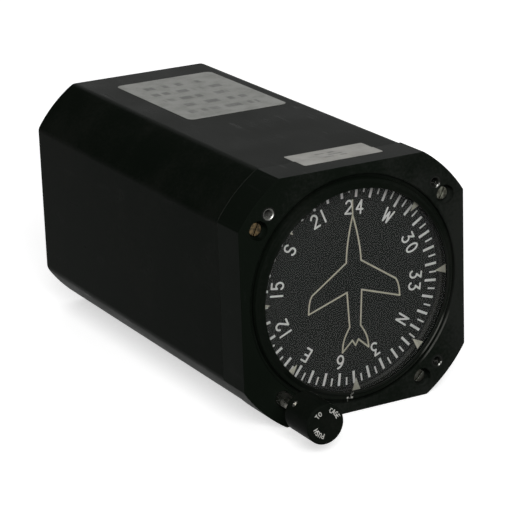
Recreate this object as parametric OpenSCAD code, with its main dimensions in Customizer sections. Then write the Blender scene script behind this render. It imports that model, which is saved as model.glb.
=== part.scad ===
// Directional gyro indicator for an aircraft panel, driven by air, with a push-to-cage knob.
// Origin: centre of the front frame's face. X right, Y into the instrument, Z up. Millimetres.

/* [Case] */
// Width and height of the front frame
frame_w = 85; // [80:0.5:90]
// How much wider than the frame the circle is that cuts off its corners
corner_over = 15.9; // [14:0.1:18]
// Thickness of the front frame, from its face to the seam
frame_t = 14.5; // [13:0.5:16]
// Depth from the front face to the back of the case
case_depth = 157.5; // [150:0.5:180]
// How far the case stands inside the side of the frame
case_step = 0.25; // [0.1:0.05:0.6]
// Thickness of the case's side walls
case_wall = 1.2; // [0.8:0.1:1.3]
// Thickness of the case's rear wall
rear_wall = 2.5; // [1.5:0.5:4]
// Thickness of the gasket in the seam
seam_t = 0.5; // [0.3:0.1:1]

/* [Dial] */
// Width of the frame beside the bezel ring's recess
frame_rim = 3.4; // [3.2:0.1:4]
// Gap round the bezel ring in its recess
recess_gap = 1.2; // [1:0.1:1.5]
// Width of the bezel ring's face
bezel_face = 2.8; // [2.4:0.1:3.4]
// How far the bezel ring stands out of the frame's face
bezel_proud = 2.2; // [1:0.1:2.5]
// Thickness of the lip over the glass
bezel_lip_t = 0.8; // [0.5:0.1:1.2]
// Width of the split in the bezel ring
bezel_split = 0.4; // [0.2:0.1:1]
// Depth of the recess
recess_depth = 2.4; // [2:0.1:3]
// Thickness of the glass
glass_t = 1.5; // [1.2:0.1:2]
// Width of the ledge behind the glass, inside which the card turns
glass_ledge = 0.5; // [0.3:0.1:0.8]
// Distance of the card's face behind the frame's face
card_y = 4.9; // [4:0.1:6]
// Thickness of the card
card_t = 1.6; // [1:0.1:2.5]
// Gap between the card's rim and its bore
card_gap = 0.5; // [0.3:0.1:1]
// Gap between the scale's marks and the bezel ring's bore
scale_gap = 0.5; // [0.4:0.1:2]
// Thickness of painted marks
paint_t = 0.1; // [0.05:0.05:0.2]
// Heading under the top of the dial, in degrees
heading = 232.7; // [0:0.1:360]

/* [Mounting] */
// Distance of the mounting holes inside the corners' circle
mount_inset = 6; // [5.5:0.05:6.5]
// Diameter of the threaded inserts
insert_d = 5; // [4.4:0.1:5.2]
// Thread core diameter of the inserts
insert_bore_d = 2.85; // [2.5:0.05:3.2]
// Depth of the inserts' thread
insert_depth = 10; // [6:0.5:11]
// Distance of the case screws inside the corners' circle
screw_inset = 6.3; // [6:0.1:6.6]
// Distance of the two upper case screws from their mounting holes
top_screw_gap = 6.21; // [6.1:0.01:8]
// Distance of the lower case screw from its mounting hole
low_screw_gap = 7.6; // [6.1:0.01:9]
// Diameter of the counterbores over the case screws
screw_sink_d = 6.6; // [5.6:0.1:6.8]
// Diameter of the case screws' heads
screw_head_d = 4.9; // [4:0.1:5.4]
// Depth of the counterbores
screw_sink = 3.2; // [2.5:0.1:4]

/* [Knob] */
// Distance of the knob's axis inside the corners' circle
knob_inset = 7.79; // [7.2:0.01:7.9]
// Angle of the knob's axis below the horizontal
knob_angle = 48; // [47:0.01:51]
// Diameter of the knob
knob_d = 13.5; // [11:0.1:13.6]
// Length of the knob
knob_len = 14.6; // [14:0.1:20]
// Gap between the pulled-out knob and the frame, of which part is its travel
knob_gap = 13.2; // [12:0.1:15]
// Travel of the knob when it is pushed in
travel = 9; // [8:0.5:10]
// Diameter of the knob's shaft
shaft_d = 4.76; // [4.4:0.02:4.8]

/* [Gyro] */
// Gap between the pushed-in caging spool and the gimbal's gear
ring_gap = 1.2; // [1:0.1:4]
// Room between the pitch circle of the bevel gears and the case's wall
ring_room = 9.05; // [8.75:0.05:9.5]
// Number of teeth of each bevel gear
bevel_teeth = 48; // [40:4:48]
// Room between the rotor and the pitch circle of the bevel gears
gimbal_room = 15; // [15:0.5:18]
// Width of the rotor
rotor_w = 15; // [10:0.5:15]
// Number of buckets in the rotor's rim
buckets = 24; // [12:4:28]
// How much longer the row of setting gears is than the straight way to the knob
gear_bend = 1.12; // [0.9:0.01:2]

/* [Rear] */
// Room between the inlet filter's cup and the case's upper wall
inlet_room = 1.4; // [0.6:0.1:3]
// Core diameter of the threaded suction port
port_d = 11.12; // [9:0.02:12]
// Length of the suction port's thread
port_len = 13; // [10:0.5:16]

/* [Hidden] */
$fn = 72;

// Clearances: fixed seats, running fits, and free gaps
seat = 0.01;
run = 0.04;
free = 0.3;

// Case and frame
corner_d = frame_w + corner_over;
case_half = frame_w / 2 - case_step;
cavity_half = case_half - case_wall;
case_y = frame_t + seam_t;
rear_y = case_depth - rear_wall;
mount_r = corner_d / 2 - mount_inset;
mount_xy = mount_r * cos(45);
screw_r = corner_d / 2 - screw_inset;
top_screw_a = 45 - apart_angle(mount_r, screw_r, top_screw_gap);
low_screw_a = 45 + apart_angle(mount_r, screw_r, low_screw_gap);
screw_places = [
    [-screw_r * cos(top_screw_a), screw_r * sin(top_screw_a)],
    [screw_r * cos(top_screw_a), screw_r * sin(top_screw_a)],
    [screw_r * cos(low_screw_a), -screw_r * sin(low_screw_a)]
];
insert_places = [[-mount_xy, mount_xy], [mount_xy, mount_xy], [mount_xy, -mount_xy]];
screw_shank_d = 3;
screw_head_t = 1.5;
screw_grip = 9;
case_post_len = 11;
case_post_r = 3.1;
web_w = 1.7 * case_post_r;
post_slot_a = 30;

// Dial
skirt_t = 0.55;
snap_t = 0.7;
snap_out = recess_gap + 0.2;
recess_d = frame_w - 2 * frame_rim;
bezel_out_d = recess_d - 2 * recess_gap;
bezel_in_d = bezel_out_d - 2 * bezel_face;
glass_y = bezel_lip_t - bezel_proud;
glass_back = glass_y + glass_t;
glass_r = bezel_out_d / 2 - skirt_t - 0.05;
dial_bore_d = 2 * (glass_r - glass_ledge);
scale_r = bezel_in_d / 2 - scale_gap;
split_a = -94;
card_r = dial_bore_d / 2 - card_gap;
card_bevel = 1.2;
card_boss_r = 5;
card_boss_foot_r = 6;
card_boss_len = 4;
card_skin = 1.2;
mark_long = 4.4;
mark_long_w = 1.13;
mark_short = 3;
mark_short_w = 0.62;
marker_tip_r = bezel_in_d / 2 - 3.3;
marker_base_r = bezel_in_d / 2 + 1.1;
symbol_r = bezel_in_d / 2 - 3.7;
marker_w = 3;
line_w = 0.57;

// Knob's shaft, from front to back
knob_reach = corner_d / 2 - knob_inset;
knob_x = knob_reach * cos(knob_angle);
knob_z = knob_reach * sin(knob_angle);
knob_back = -knob_gap;
knob_front = knob_back - knob_len;
knob_wall = 4;
set_screw_in = 3.4;
set_screw_r = 1.24;
shaft_flat = 0.5;
bush_r = 3.2;
bush_front = 3;
seal_y = 10.5;
seal_r = 0.9;
seal_room_r = shaft_d / 2 + 2 * seal_r + 0.1;
seal_washer_t = 1.2;
washer_y = frame_t + 0.7;
washer_t = 1;
spring_wire = 0.7;
spring_turns = 5;
spring_r = shaft_d / 2 + 0.95;
plate_y = washer_y + washer_t + travel + spring_wire * (spring_turns + 1) + 0.3;
plate_t = 3;
pinion_t = 3;
pinion_y = plate_y + plate_t + 1;
gear_t = 2.5;
gear_y = pinion_y + travel + (pinion_t - gear_t) / 2;
bulkhead_t = 3;
bulkhead_y = gear_y + gear_t + 1.6;
spool_y = bulkhead_y + bulkhead_t + 1;
spool_lip = 1;
spool_slot = 2.6;
spool_r = 5;
spool_core_r = shaft_d / 2 + 0.3;
spool_len = 2 * spool_lip + spool_slot;
shaft_end = spool_y + spool_len + 0.3;
post_mid = spool_y + spool_len / 2;

// Setting gears: card, idler and caging pinion
setting_teeth = 48;
idler_teeth = 16;
pinion_teeth = 8;
gear_m = (knob_reach + gear_bend) / (setting_teeth / 2 + idler_teeth + pinion_teeth / 2);
setting_r = gear_m * setting_teeth / 2;
idler_r = gear_m * idler_teeth / 2;
pinion_r = gear_m * pinion_teeth / 2;
addendum = 0.85 * gear_m;
dedendum = 1.05 * gear_m;
knob_a = 180 + knob_angle;
card_to_idler = setting_r + idler_r + 0.05;
idler_to_knob = idler_r + pinion_r + 0.05;
idler_off = apart_angle(card_to_idler, knob_reach, idler_to_knob);
idler_a = knob_a - idler_off;
idler_x = card_to_idler * cos(idler_a);
idler_z = card_to_idler * sin(idler_a);
idler_knob_a = atan2(-knob_z - idler_z, -knob_x - idler_x);
idler_phase = mesh_phase(0, setting_teeth, idler_a, idler_teeth);
pinion_phase = mesh_phase(idler_phase, idler_teeth, idler_knob_a, pinion_teeth);

// Bevel gears, both alike, with their cones' tips at the gyro's centre
bevel_r = cavity_half - ring_room;
bevel_m = 2 * bevel_r / bevel_teeth;
bevel_face = 3.6;
bevel_small = 1 - bevel_face / (bevel_r * sqrt(2));
bevel_add = 0.8 * bevel_m;
bevel_ded = bevel_m;
bevel_back = 1.65;
bevel_tip_r = bevel_r + bevel_add / sqrt(2);
gyro_y = spool_y + spool_len + travel + ring_gap
    + sqrt(bevel_tip_r * bevel_tip_r - pow(knob_x - spool_r, 2));
ring_in_r = bevel_r - 5.5;
ring_shoulder_r = ring_in_r + 1.5;
ring_front = bevel_small * (bevel_r + bevel_ded / sqrt(2));
ring_back = bevel_r + bevel_ded / sqrt(2) + bevel_back;

// Gimbals
rotor_r = bevel_r - gimbal_room;
inner_in_r = norm([rotor_r, rotor_w / 2]) + 0.8;
inner_t = 2.8;
inner_half = 4;
inner_out_r = inner_in_r + inner_t;
strap_in_r = inner_in_r + 0.5;
strap_t = 1.7;
strap_half = 3.5;
pad_z = strap_in_r + strap_t + 0.7;
rotor_boss_r = 4.2;
rotor_boss_out = inner_out_r + 1;
outer_in_r = rotor_boss_out + 0.3;
outer_t = 3.5;
outer_half = 4;
outer_out_r = outer_in_r + outer_t;
trunnion_r = 1.2;
trunnion_end = outer_out_r + 0.8;
tilt_boss_r = 4.8;
tilt_boss_out = trunnion_end + 0.2;
small_bearing_r = 3.2;
small_bearing_t = 2.5;
axle_r = 1.2;
flange_t = 1.3;
register_t = 1.7;
pivot_r = 2.5;
big_bearing_r = 5;
big_bearing_t = 3;
arm_low_top = ring_back + 0.4;
arm_low_t = 2.8;
arm_low_z = arm_low_top + arm_low_t;
arm_high_z = bevel_r + 1.5;
arm_high_t = 4;
arm_low_half = 14;
arm_high_half = 9;
frame_end = gyro_y + ring_back + 2;
strut_t = 3;
low_boss_top = ring_front + register_t + 0.3;
low_boss_r = 8;

// Caging: the pin lifts a plate against the flat of the strap
lift = 0.8;
pin_r = 1.2;
plate_r = 5;
plate_thick = 0.9;
plate_top = pad_z + lift + 0.1;
lever_t = 1;
lever_top = arm_low_z + lift + 0.3;
lever_bottom = lever_top + lever_t;
pin_tip = lever_top - 0.05;
lever_a = 30;
lever_post_r = 1.2;
lever_post_x = -knob_x + spool_core_r + lever_post_r + free;
lever_short = travel / (2 * sin(lever_a / 2));
lever_x = lever_post_x + lever_short;
lever_y = post_mid + travel / 2;
lever_long = norm([lever_x, gyro_y - lever_y]);
lever_pin_r = 1.5;

// Posts and rear fittings
post_edge = cavity_half - 4.9;
post_side = cavity_half - 18.9;
post_places = [[-post_side, post_edge], [post_side, post_edge], [post_edge, -post_side],
    [-post_edge, -post_side]];
post_r = 2.8;
stud_r = 1.4;
stud_len = 5;
small_hole_r = 1.3;
plate_out_r = corner_d / 2 - 3.5;
plate_window = 18;
plate_window_x = bevel_r - 10;
high_screw_x = 6;
low_screw_x = 9;
plate_screw_places = [
    [-high_screw_x, arm_high_z + arm_high_t / 2], [high_screw_x, arm_high_z + arm_high_t / 2],
    [-low_screw_x, -arm_low_top - arm_low_t / 2], [low_screw_x, -arm_low_top - arm_low_t / 2]
];
post_screw = [4.4, 1.4, 2.36];
plate_screw = [4, 1.2, 2];
small_screw_len = 5;
strut_w = 16;
bulkhead_w = 14;
bulkhead_r = 11;
bulkhead_end_r = 5;
hub_r = 4;
hub_plate_t = 2.4;
neck_r = 7;
card_shaft_r = 1.5;
stud_out_r = 1.5;
filter_r = 10;
filter_cup_t = 1.5;
cap_in = 2.5;
cap_t = 1.2;
cap_rim = 2;
cap_hole_r = 1;
filter_depth = 9;
inlet_z = cavity_half - inlet_room - filter_r - filter_cup_t;
tube_r = 2.2;
tube_bore_r = 1.4;
tube_z = arm_high_z + arm_high_t / 2;
port_z = cavity_half - 18.9;
port_boss_r = 9;

// Angle at the centre between two points at radii a and b that are c apart
function apart_angle(a, b, c) = acos((a * a + b * b - c * c) / (2 * a * b));

// Angle of a driven gear's tooth so that it meshes with a driver's at direction a
function mesh_phase(phase, teeth, a, driven) =
    a + 360 / driven * (0.5 - teeth * (phase - a) / 360);

// Half the angle of a 20 degree involute tooth at radius r
function involute(a) = tan(a) * 180 / PI - a;
function tooth_half(r, pitch_r, teeth) =
    let (base_r = pitch_r * cos(20), a = acos(min(1, base_r / r)))
    90 / teeth * 0.93 + involute(20) - involute(a);

// Outline of a spur gear: root, pitch and tip points on each flank
function gear_points(teeth, phase) =
    let (p = gear_m * teeth / 2, rows = [[p - dedendum, 1], [p, 1], [p + addendum, 1]])
    [for (i = [0:teeth - 1]) for (k = [-3:3]) if (k != 0)
        let (r = rows[3 - abs(k)][0], s = sign(k), c = phase + 360 * i / teeth)
        let (a = c + s * tooth_half(r, p, teeth)) [r * cos(a), r * sin(a)]];

// Bevel ring: loops of points round the axis, the tip of its cone at the origin, below it
function bevel_loop(r_root, z_root, r_tip, z_tip, scale) =
    let (flank = bevel_m * PI / 4 - 0.05,
        tip = (flank - bevel_add * tan(20)) / bevel_r * 180 / PI,
        root = (flank + bevel_ded * tan(20)) / bevel_r * 180 / PI)
    [for (i = [0:bevel_teeth - 1]) for (k = [0:3])
        let (high = k == 1 || k == 2, half = high ? tip : root, side = k < 2 ? -1 : 1)
        let (a = 360 * i / bevel_teeth + side * half, r = scale * (high ? r_tip : r_root))
        [r * cos(a), r * sin(a), scale * (high ? z_tip : z_root)]];

// The same loop drawn in or out to a radius, at one height
function ring_loop(points, r, z) =
    [for (p = points) let (k = r / norm([p[0], p[1]])) [p[0] * k, p[1] * k, z]];

// Section across the case, moved inwards by a step
module outline(step) {
    intersection() {
        square(frame_w - 2 * step, center = true);
        circle(r = corner_d / 2 - step);
    }
}

// Extrudes a front view from depth y0 to y1
module slab(y0, y1) {
    translate([0, y1, 0]) rotate([90, 0, 0]) linear_extrude(y1 - y0) children();
}

// Round bars along each axis
module rod_x(x0, x1, r, y = 0, z = 0) {
    translate([x0, y, z]) rotate([0, 90, 0]) cylinder(h = x1 - x0, r = r);
}

module rod_y(y0, y1, r, x = 0, z = 0) {
    translate([x, y0, z]) rotate([-90, 0, 0]) cylinder(h = y1 - y0, r = r);
}

module rod_z(z0, z1, r, x = 0, y = 0) {
    translate([x, y, z0]) cylinder(h = z1 - z0, r = r);
}

// Turns a profile of [radius, depth] points about the Y axis
module turned(points) {
    rotate([-90, 0, 0]) rotate_extrude() polygon(points);
}

// Slotted cheese-head screw along +Y, with the top of its head at the origin
module slotted_screw(head_d, head_t, shank_d, shank_len, slot_a) {
    difference() {
        union() {
            rod_y(0, head_t, head_d / 2);
            rod_y(0, head_t + shank_len, shank_d / 2);
        }
        rotate([0, -slot_a, 0]) translate([-head_d, -1, -0.4]) cube([2 * head_d, 1.7, 0.8]);
    }
}

// Ball bearing shown as one ring
module bearing_z(z, out_r, in_r, thick) {
    difference() {
        rod_z(z, z + thick, out_r - seat);
        rod_z(z - 1, z + thick + 1, in_r + run / 2);
    }
}

module bearing_y(y, out_r, in_r, thick) {
    difference() {
        rod_y(y, y + thick, out_r - seat);
        rod_y(y - 1, y + thick + 1, in_r + run / 2);
    }
}

module front_frame() {
    color("#1c1d1e") difference() {
        slab(0, frame_t) outline(0);
        rod_y(-1, frame_t + 1, dial_bore_d / 2);
        turned([[0, -1], [recess_d / 2 + 1.4, -1], [recess_d / 2, 0.4], [recess_d / 2, recess_depth - 1],
            [recess_d / 2 + 0.4, recess_depth - 1], [recess_d / 2 + 0.4, recess_depth], [0, recess_depth]]);
        for (p = insert_places) rod_y(-1, frame_t + 1, insert_d / 2, p[0], p[1]);
        for (p = screw_places) {
            rod_y(-1, screw_sink, screw_sink_d / 2, p[0], p[1]);
            rod_y(0, frame_t + 1, screw_shank_d / 2 + 0.15, p[0], p[1]);
        }
        for (p = post_places) rod_y(frame_t - stud_len, frame_t + 1, stud_r + seat, p[0], p[1]);
        rod_y(-1, frame_t, shaft_d / 2 + 0.2, -knob_x, -knob_z);
        rod_y(bush_front, frame_t + 1, bush_r, -knob_x, -knob_z);
        rod_y(seal_y, frame_t + 1, seal_room_r, -knob_x, -knob_z);
    }
}

module bezel_ring() {
    out_r = bezel_out_d / 2;
    color("#202122") difference() {
        turned([[bezel_in_d / 2, -bezel_proud + 0.35], [bezel_in_d / 2 + 1.05, -bezel_proud],
            [out_r - 0.2, -bezel_proud], [out_r, -bezel_proud + 0.2], [out_r, recess_depth - snap_t - 0.1],
            [out_r + snap_out, recess_depth - snap_t - 0.1], [out_r + snap_out, recess_depth - 0.1],
            [out_r - skirt_t, recess_depth - 0.1], [out_r - skirt_t, glass_y],
            [bezel_in_d / 2, glass_y]]);
        rotate([0, -split_a, 0]) translate([bezel_in_d / 2 - 2, -bezel_proud - 1, -bezel_split / 2])
            cube([8, bezel_proud + recess_depth + 2, bezel_split]);
    }
}

module dial_glass() {
    color("#b8c4c4", 0.25) rod_y(glass_y, glass_back, glass_r);
}

module glass_gasket() {
    color("#151515") difference() {
        rod_y(glass_back, recess_depth, glass_r);
        rod_y(glass_back - 1, recess_depth + 1, dial_bore_d / 2);
    }
}

// Triangles every 45 degrees except at the top, painted on the back of the glass
module index_markers() {
    color("#cfc9a8") slab(glass_back, glass_back + paint_t)
        for (a = [135:45:405]) rotate(a)
            polygon([[marker_tip_r, 0], [marker_base_r, -marker_w / 2], [marker_base_r, marker_w / 2]]);
}

// Plan view of an aeroplane in one line, painted on the back of the glass
module aircraft_symbol() {
    half = [
        [0, 25.2], [1.3, 20.5], [2.2, 15.5], [2.8, 9.8], [16, 0.8], [17.2, -1.4], [17.8, -5.4],
        [2.8, -0.4], [2.1, -12.6], [3.2, -16.4], [5.2, -21], [1.1, -17.3], [0, -19.4]
    ];
    ends = len(half) - 1;
    k = symbol_r / 31.4;
    shape = k * concat(half, [for (i = [ends - 1:-1:1]) [-half[i][0], half[i][1]]]);
    color("#cfc9a8") slab(glass_back, glass_back + paint_t) translate([-0.35, 0]) {
        difference() {
            offset(delta = line_w / 2) polygon(shape);
            offset(delta = -line_w / 2) polygon(shape);
        }
        translate([-line_w / 2, k * half[0][1]]) square([line_w, symbol_r - k * half[0][1]]);
    }
}

// Threaded inserts with closed rear ends, because the case behind them holds a vacuum
module mounting_inserts() {
    color("#b9bcbe") for (p = insert_places) difference() {
        rod_y(0, frame_t, insert_d / 2 - seat, p[0], p[1]);
        rod_y(-1, insert_depth, insert_bore_d / 2, p[0], p[1]);
        translate([p[0], 0, p[1]]) turned([[0, -0.1], [insert_bore_d / 2 + 0.5, -0.1], [0, 1.4]]);
    }
}

module front_screws() {
    slot_a = [65, 60, 45];
    shank_len = frame_t - screw_sink + seam_t + screw_grip;
    color("#a89a78") for (i = [0:2])
        translate([screw_places[i][0], screw_sink - screw_head_t, screw_places[i][1]])
            slotted_screw(screw_head_d, screw_head_t, screw_shank_d, shank_len, slot_a[i]);
}

module case_gasket() {
    color("#0d0d0d") difference() {
        slab(frame_t, case_y) outline(case_step + 0.3);
        slab(frame_t - 1, case_y + 1) outline(case_step + case_wall);
    }
}

module case_cover() {
    depth = filter_depth + filter_cup_t;
    color("#17181a") difference() {
        union() {
            difference() {
                slab(case_y, case_depth) outline(case_step);
                slab(case_y - 1, rear_y) outline(case_step + case_wall);
            }
            intersection() {
                slab(case_y, case_y + case_post_len) outline(case_step + case_wall / 2);
                for (p = screw_places) union() {
                    rod_y(case_y, case_y + case_post_len, case_post_r, p[0], p[1]);
                    a = atan2(p[1], p[0]);
                    translate([p[0], case_y, p[1]]) rotate([0, -a, 0])
                        translate([0, 0, -web_w / 2]) cube([2 * case_post_r, case_post_len, web_w]);
                }
            }
            rod_y(case_depth - depth, case_depth, filter_r + filter_cup_t, 0, inlet_z);
            rod_y(case_depth - port_len, case_depth, port_boss_r, 0, -port_z);
        }
        for (p = screw_places)
            rod_y(case_y - 1, case_y + screw_grip + 1, screw_shank_d / 2 + seat, p[0], p[1]);
        rod_y(case_depth - filter_depth, case_depth + 1, filter_r, 0, inlet_z);
        rod_y(case_depth - depth - 1, case_depth, tube_r + seat, 0, tube_z);
        rod_y(case_depth - port_len - 1, case_depth + 1, port_d / 2, 0, -port_z);
    }
}

module shaft_bushing() {
    color("#b08d57") difference() {
        rod_y(bush_front, seal_y, bush_r - seat, -knob_x, -knob_z);
        rod_y(0, frame_t, shaft_d / 2 + run, -knob_x, -knob_z);
    }
}

module shaft_seal() {
    color("#111111") translate([-knob_x, seal_y + seal_r + 0.05, -knob_z]) rotate([-90, 0, 0])
        rotate_extrude() translate([shaft_d / 2 + run + seal_r, 0]) circle(r = seal_r, $fn = 36);
}

module seal_washer() {
    color("#b9bcbe") difference() {
        rod_y(frame_t - seal_washer_t, frame_t, seal_room_r - seat, -knob_x, -knob_z);
        rod_y(0, frame_t + 1, shaft_d / 2 + 0.1, -knob_x, -knob_z);
    }
}

module frame_posts() {
    color("#a9acae") for (p = post_places) difference() {
        union() {
            rod_y(frame_t, plate_y, post_r, p[0], p[1]);
            rod_y(frame_t - stud_len, plate_y, stud_r, p[0], p[1]);
        }
        rod_y(plate_y - small_screw_len - 1, plate_y + 1, post_screw[2] / 2 + seat, p[0], p[1]);
    }
}

module post_screws() {
    color("#a9acae") for (p = post_places) translate([p[0], plate_y + plate_t + post_screw[1], p[1]])
        mirror([0, 1, 0])
            slotted_screw(post_screw[0], post_screw[1], post_screw[2], plate_t + small_screw_len,
                post_slot_a);
}

// Front plate of the mechanism, on the four posts
module front_plate() {
    color("#8d9194") difference() {
        slab(plate_y, plate_y + plate_t) intersection() {
            outline(case_step + case_wall + 1);
            circle(r = plate_out_r);
        }
        rod_y(plate_y - 1, plate_y + plate_t + 1, big_bearing_r - 1);
        rod_y(plate_y - 1, plate_y + plate_t - 0.4, big_bearing_r);
        rod_y(plate_y - 1, plate_y + plate_t + 1, shaft_d / 2 + run, -knob_x, -knob_z);
        rod_y(plate_y - 1, plate_y + plate_t + 1, stud_out_r + seat, idler_x, idler_z);
        for (p = concat(post_places, plate_screw_places))
            rod_y(plate_y - 1, plate_y + plate_t + 1, small_hole_r, p[0], p[1]);
        for (a = [0, 90, 315])
            rod_y(plate_y - 1, plate_y + plate_t + 1, plate_window / 2,
                plate_window_x * cos(a), plate_window_x * sin(a));
    }
}

module plate_screws() {
    color("#a9acae") for (p = plate_screw_places) translate([p[0], plate_y - plate_screw[1], p[1]])
        slotted_screw(plate_screw[0], plate_screw[1], plate_screw[2], plate_t + small_screw_len, 20);
}

// Frame of the gyro: two arms, the bulkhead behind the setting gears and a strut at the rear
module gyro_frame() {
    y0 = plate_y + plate_t;
    span = frame_end - y0;
    color("#9a9ea1") difference() {
        union() {
            translate([-arm_low_half, y0, -arm_low_z]) cube([2 * arm_low_half, span, arm_low_t]);
            translate([-arm_high_half, y0, arm_high_z]) cube([2 * arm_high_half, span, arm_high_t]);
            translate([-bulkhead_w / 2, bulkhead_y, -arm_low_z])
                cube([bulkhead_w, bulkhead_t, arm_low_z + arm_high_z + 1]);
            rod_y(bulkhead_y, bulkhead_y + bulkhead_t, bulkhead_r);
            slab(bulkhead_y, bulkhead_y + bulkhead_t) rotate(knob_a)
                translate([0, -bulkhead_w / 2]) square([knob_reach, bulkhead_w]);
            rod_y(bulkhead_y, bulkhead_y + bulkhead_t, bulkhead_end_r, -knob_x, -knob_z);
            translate([-strut_w / 2, frame_end - strut_t, -arm_low_z])
                cube([strut_w, strut_t, arm_low_z + arm_high_z + 1]);
            rod_z(-arm_low_z, -low_boss_top, low_boss_r, 0, gyro_y);
        }
        rod_y(bulkhead_y - 1, bulkhead_y + bulkhead_t + 1, big_bearing_r - 1);
        rod_y(bulkhead_y + 0.4, bulkhead_y + bulkhead_t + 1, big_bearing_r);
        rod_y(bulkhead_y - 1, bulkhead_y + bulkhead_t + 1, shaft_d / 2 + run, -knob_x, -knob_z);
        rod_y(bulkhead_y - 1, bulkhead_y + bulkhead_t + 1, stud_out_r + seat, idler_x, idler_z);
        rod_z(-low_boss_top - big_bearing_t, -low_boss_top + 1, big_bearing_r, 0, gyro_y);
        rod_z(-arm_low_z - 1, 0, pivot_r + 0.3, 0, gyro_y);
        rod_z(arm_high_z - 1, arm_high_z + big_bearing_t, big_bearing_r, 0, gyro_y);
        rod_z(arm_high_z, arm_high_z + arm_high_t - 0.5, tube_bore_r, 0, gyro_y);
        rod_y(gyro_y, frame_end + 1, tube_bore_r, 0, tube_z);
        rod_y(frame_end - strut_t, frame_end + 1, tube_r + seat, 0, tube_z);
        rod_z(-arm_low_z - 1, -arm_low_top + 1, lever_pin_r + seat, lever_x, lever_y);
        for (p = plate_screw_places)
            rod_y(y0 - 1, y0 + small_screw_len + 1, plate_screw[2] / 2 + seat, p[0], p[1]);
    }
}

module card_bearing_front() {
    color("#c7c9ca") bearing_y(plate_y, big_bearing_r, card_shaft_r, plate_t - 0.5);
}

module card_bearing_rear() {
    color("#c7c9ca") bearing_y(bulkhead_y + 0.5, big_bearing_r, card_shaft_r, bulkhead_t - 0.5);
}

module upper_bearing() {
    color("#c7c9ca") translate([0, gyro_y, 0]) bearing_z(arm_high_z, big_bearing_r, pivot_r, big_bearing_t);
}

module lower_bearing() {
    color("#c7c9ca") translate([0, gyro_y, 0])
        bearing_z(-low_boss_top - big_bearing_t, big_bearing_r, pivot_r, big_bearing_t);
}

module idler_stud() {
    color("#a9acae") rod_y(plate_y, bulkhead_y + bulkhead_t, stud_out_r, idler_x, idler_z);
}

module lever_pivot() {
    color("#a9acae") union() {
        rod_z(-lever_bottom - 0.1, -arm_low_top, lever_pin_r, lever_x, lever_y);
        rod_z(-lever_bottom - 0.6, -lever_bottom - 0.1, lever_pin_r + 1, lever_x, lever_y);
    }
}

module air_tube() {
    color("#b08d57") difference() {
        rod_y(frame_end - strut_t, case_depth - filter_depth, tube_r, 0, tube_z);
        rod_y(frame_end - strut_t - 1, case_depth, tube_bore_r, 0, tube_z);
    }
}

module inlet_filter() {
    color("#c9c2ae")
        rod_y(case_depth - filter_depth + 1, case_depth - cap_in - 0.5, filter_r - 0.1, 0, inlet_z);
}

// Perforated cap over the filter
module filter_cap() {
    color("#2a2b2d") translate([0, 0, inlet_z]) difference() {
        turned([[0, case_depth - cap_in],
            [filter_r - 0.05, case_depth - cap_in], [filter_r - 0.05, case_depth],
            [filter_r + cap_rim, case_depth], [filter_r + cap_rim, case_depth + cap_t / 2],
            [filter_r + cap_rim - 0.6, case_depth + cap_t], [0, case_depth + cap_t]]);
        for (a = [0:60:300])
            rod_y(case_depth - 3, case_depth + 2, cap_hole_r,
                0.34 * filter_r * cos(a), 0.34 * filter_r * sin(a));
        for (a = [0:30:330])
            rod_y(case_depth - 3, case_depth + 2, cap_hole_r,
                0.7 * filter_r * cos(a), 0.7 * filter_r * sin(a));
        rod_y(case_depth - 3, case_depth + 2, cap_hole_r);
    }
}

// Helical return spring between its washer and the front plate
module return_spring() {
    sides = 6;
    per_turn = 12;
    steps = spring_turns * per_turn;
    y0 = washer_y + washer_t + spring_wire / 2;
    rise = (plate_y - spring_wire / 2 - y0) / steps;
    points = [for (i = [0:steps]) for (k = [0:sides - 1])
        let (a = 360 * i / per_turn, b = 360 * k / sides, r = spring_r + spring_wire / 2 * cos(b))
        [r * cos(a) - knob_x, y0 + i * rise + spring_wire / 2 * sin(b), r * sin(a) - knob_z]];
    sides_faces = [for (i = [0:steps - 1]) for (k = [0:sides - 1])
        let (p = i * sides + k, q = i * sides + (k + 1) % sides)
        each [[p, q, q + sides], [p, q + sides, p + sides]]];
    first = [for (k = [1:sides - 2]) [0, k + 1, k]];
    last = [for (k = [1:sides - 2]) [steps * sides, steps * sides + k, steps * sides + k + 1]];
    color("#c7c9ca") polyhedron(points, concat(sides_faces, first, last));
}

module compass_card() {
    card_boss_y = card_y + card_t + card_boss_len;
    color("#2b2c2e") difference() {
        turned([[0, card_y], [card_r - card_bevel, card_y], [card_r, card_y + card_t / 2],
            [card_r, card_y + card_t], [card_boss_foot_r, card_y + card_t], [card_boss_r, card_boss_y],
            [0, card_boss_y]]);
        rod_y(card_y + card_skin, card_boss_y + card_boss_len, card_shaft_r + seat);
    }
}

// Marks every 5 degrees, long and broad every 10
module card_scale() {
    color("#e8e8e2") slab(card_y - paint_t, card_y) for (i = [0:71]) {
        size = i % 2 == 0 ? [mark_long, mark_long_w] : [mark_short, mark_short_w];
        rotate(90 + heading - 5 * i) translate([scale_r - size[0], -size[1] / 2]) square(size);
    }
}

module card_shaft() {
    color("#c7c9ca") rod_y(card_y + card_skin, gyro_y - ring_front - 0.4, card_shaft_r);
}

module setting_gear() {
    hole_at = (setting_r + hub_r) / 2 - 0.5;
    color("#b08d57") difference() {
        union() {
            slab(gear_y, gear_y + gear_t) polygon(gear_points(setting_teeth, 0));
            rod_y(gear_y - 2, gear_y + gear_t, hub_r);
        }
        rod_y(gear_y - 3, gear_y + gear_t + 1, card_shaft_r + seat);
        for (a = [30:60:330])
            rod_y(gear_y - 1, gear_y + gear_t + 1, (setting_r - hub_r) / 4,
                hole_at * cos(a), hole_at * sin(a));
    }
}

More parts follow.
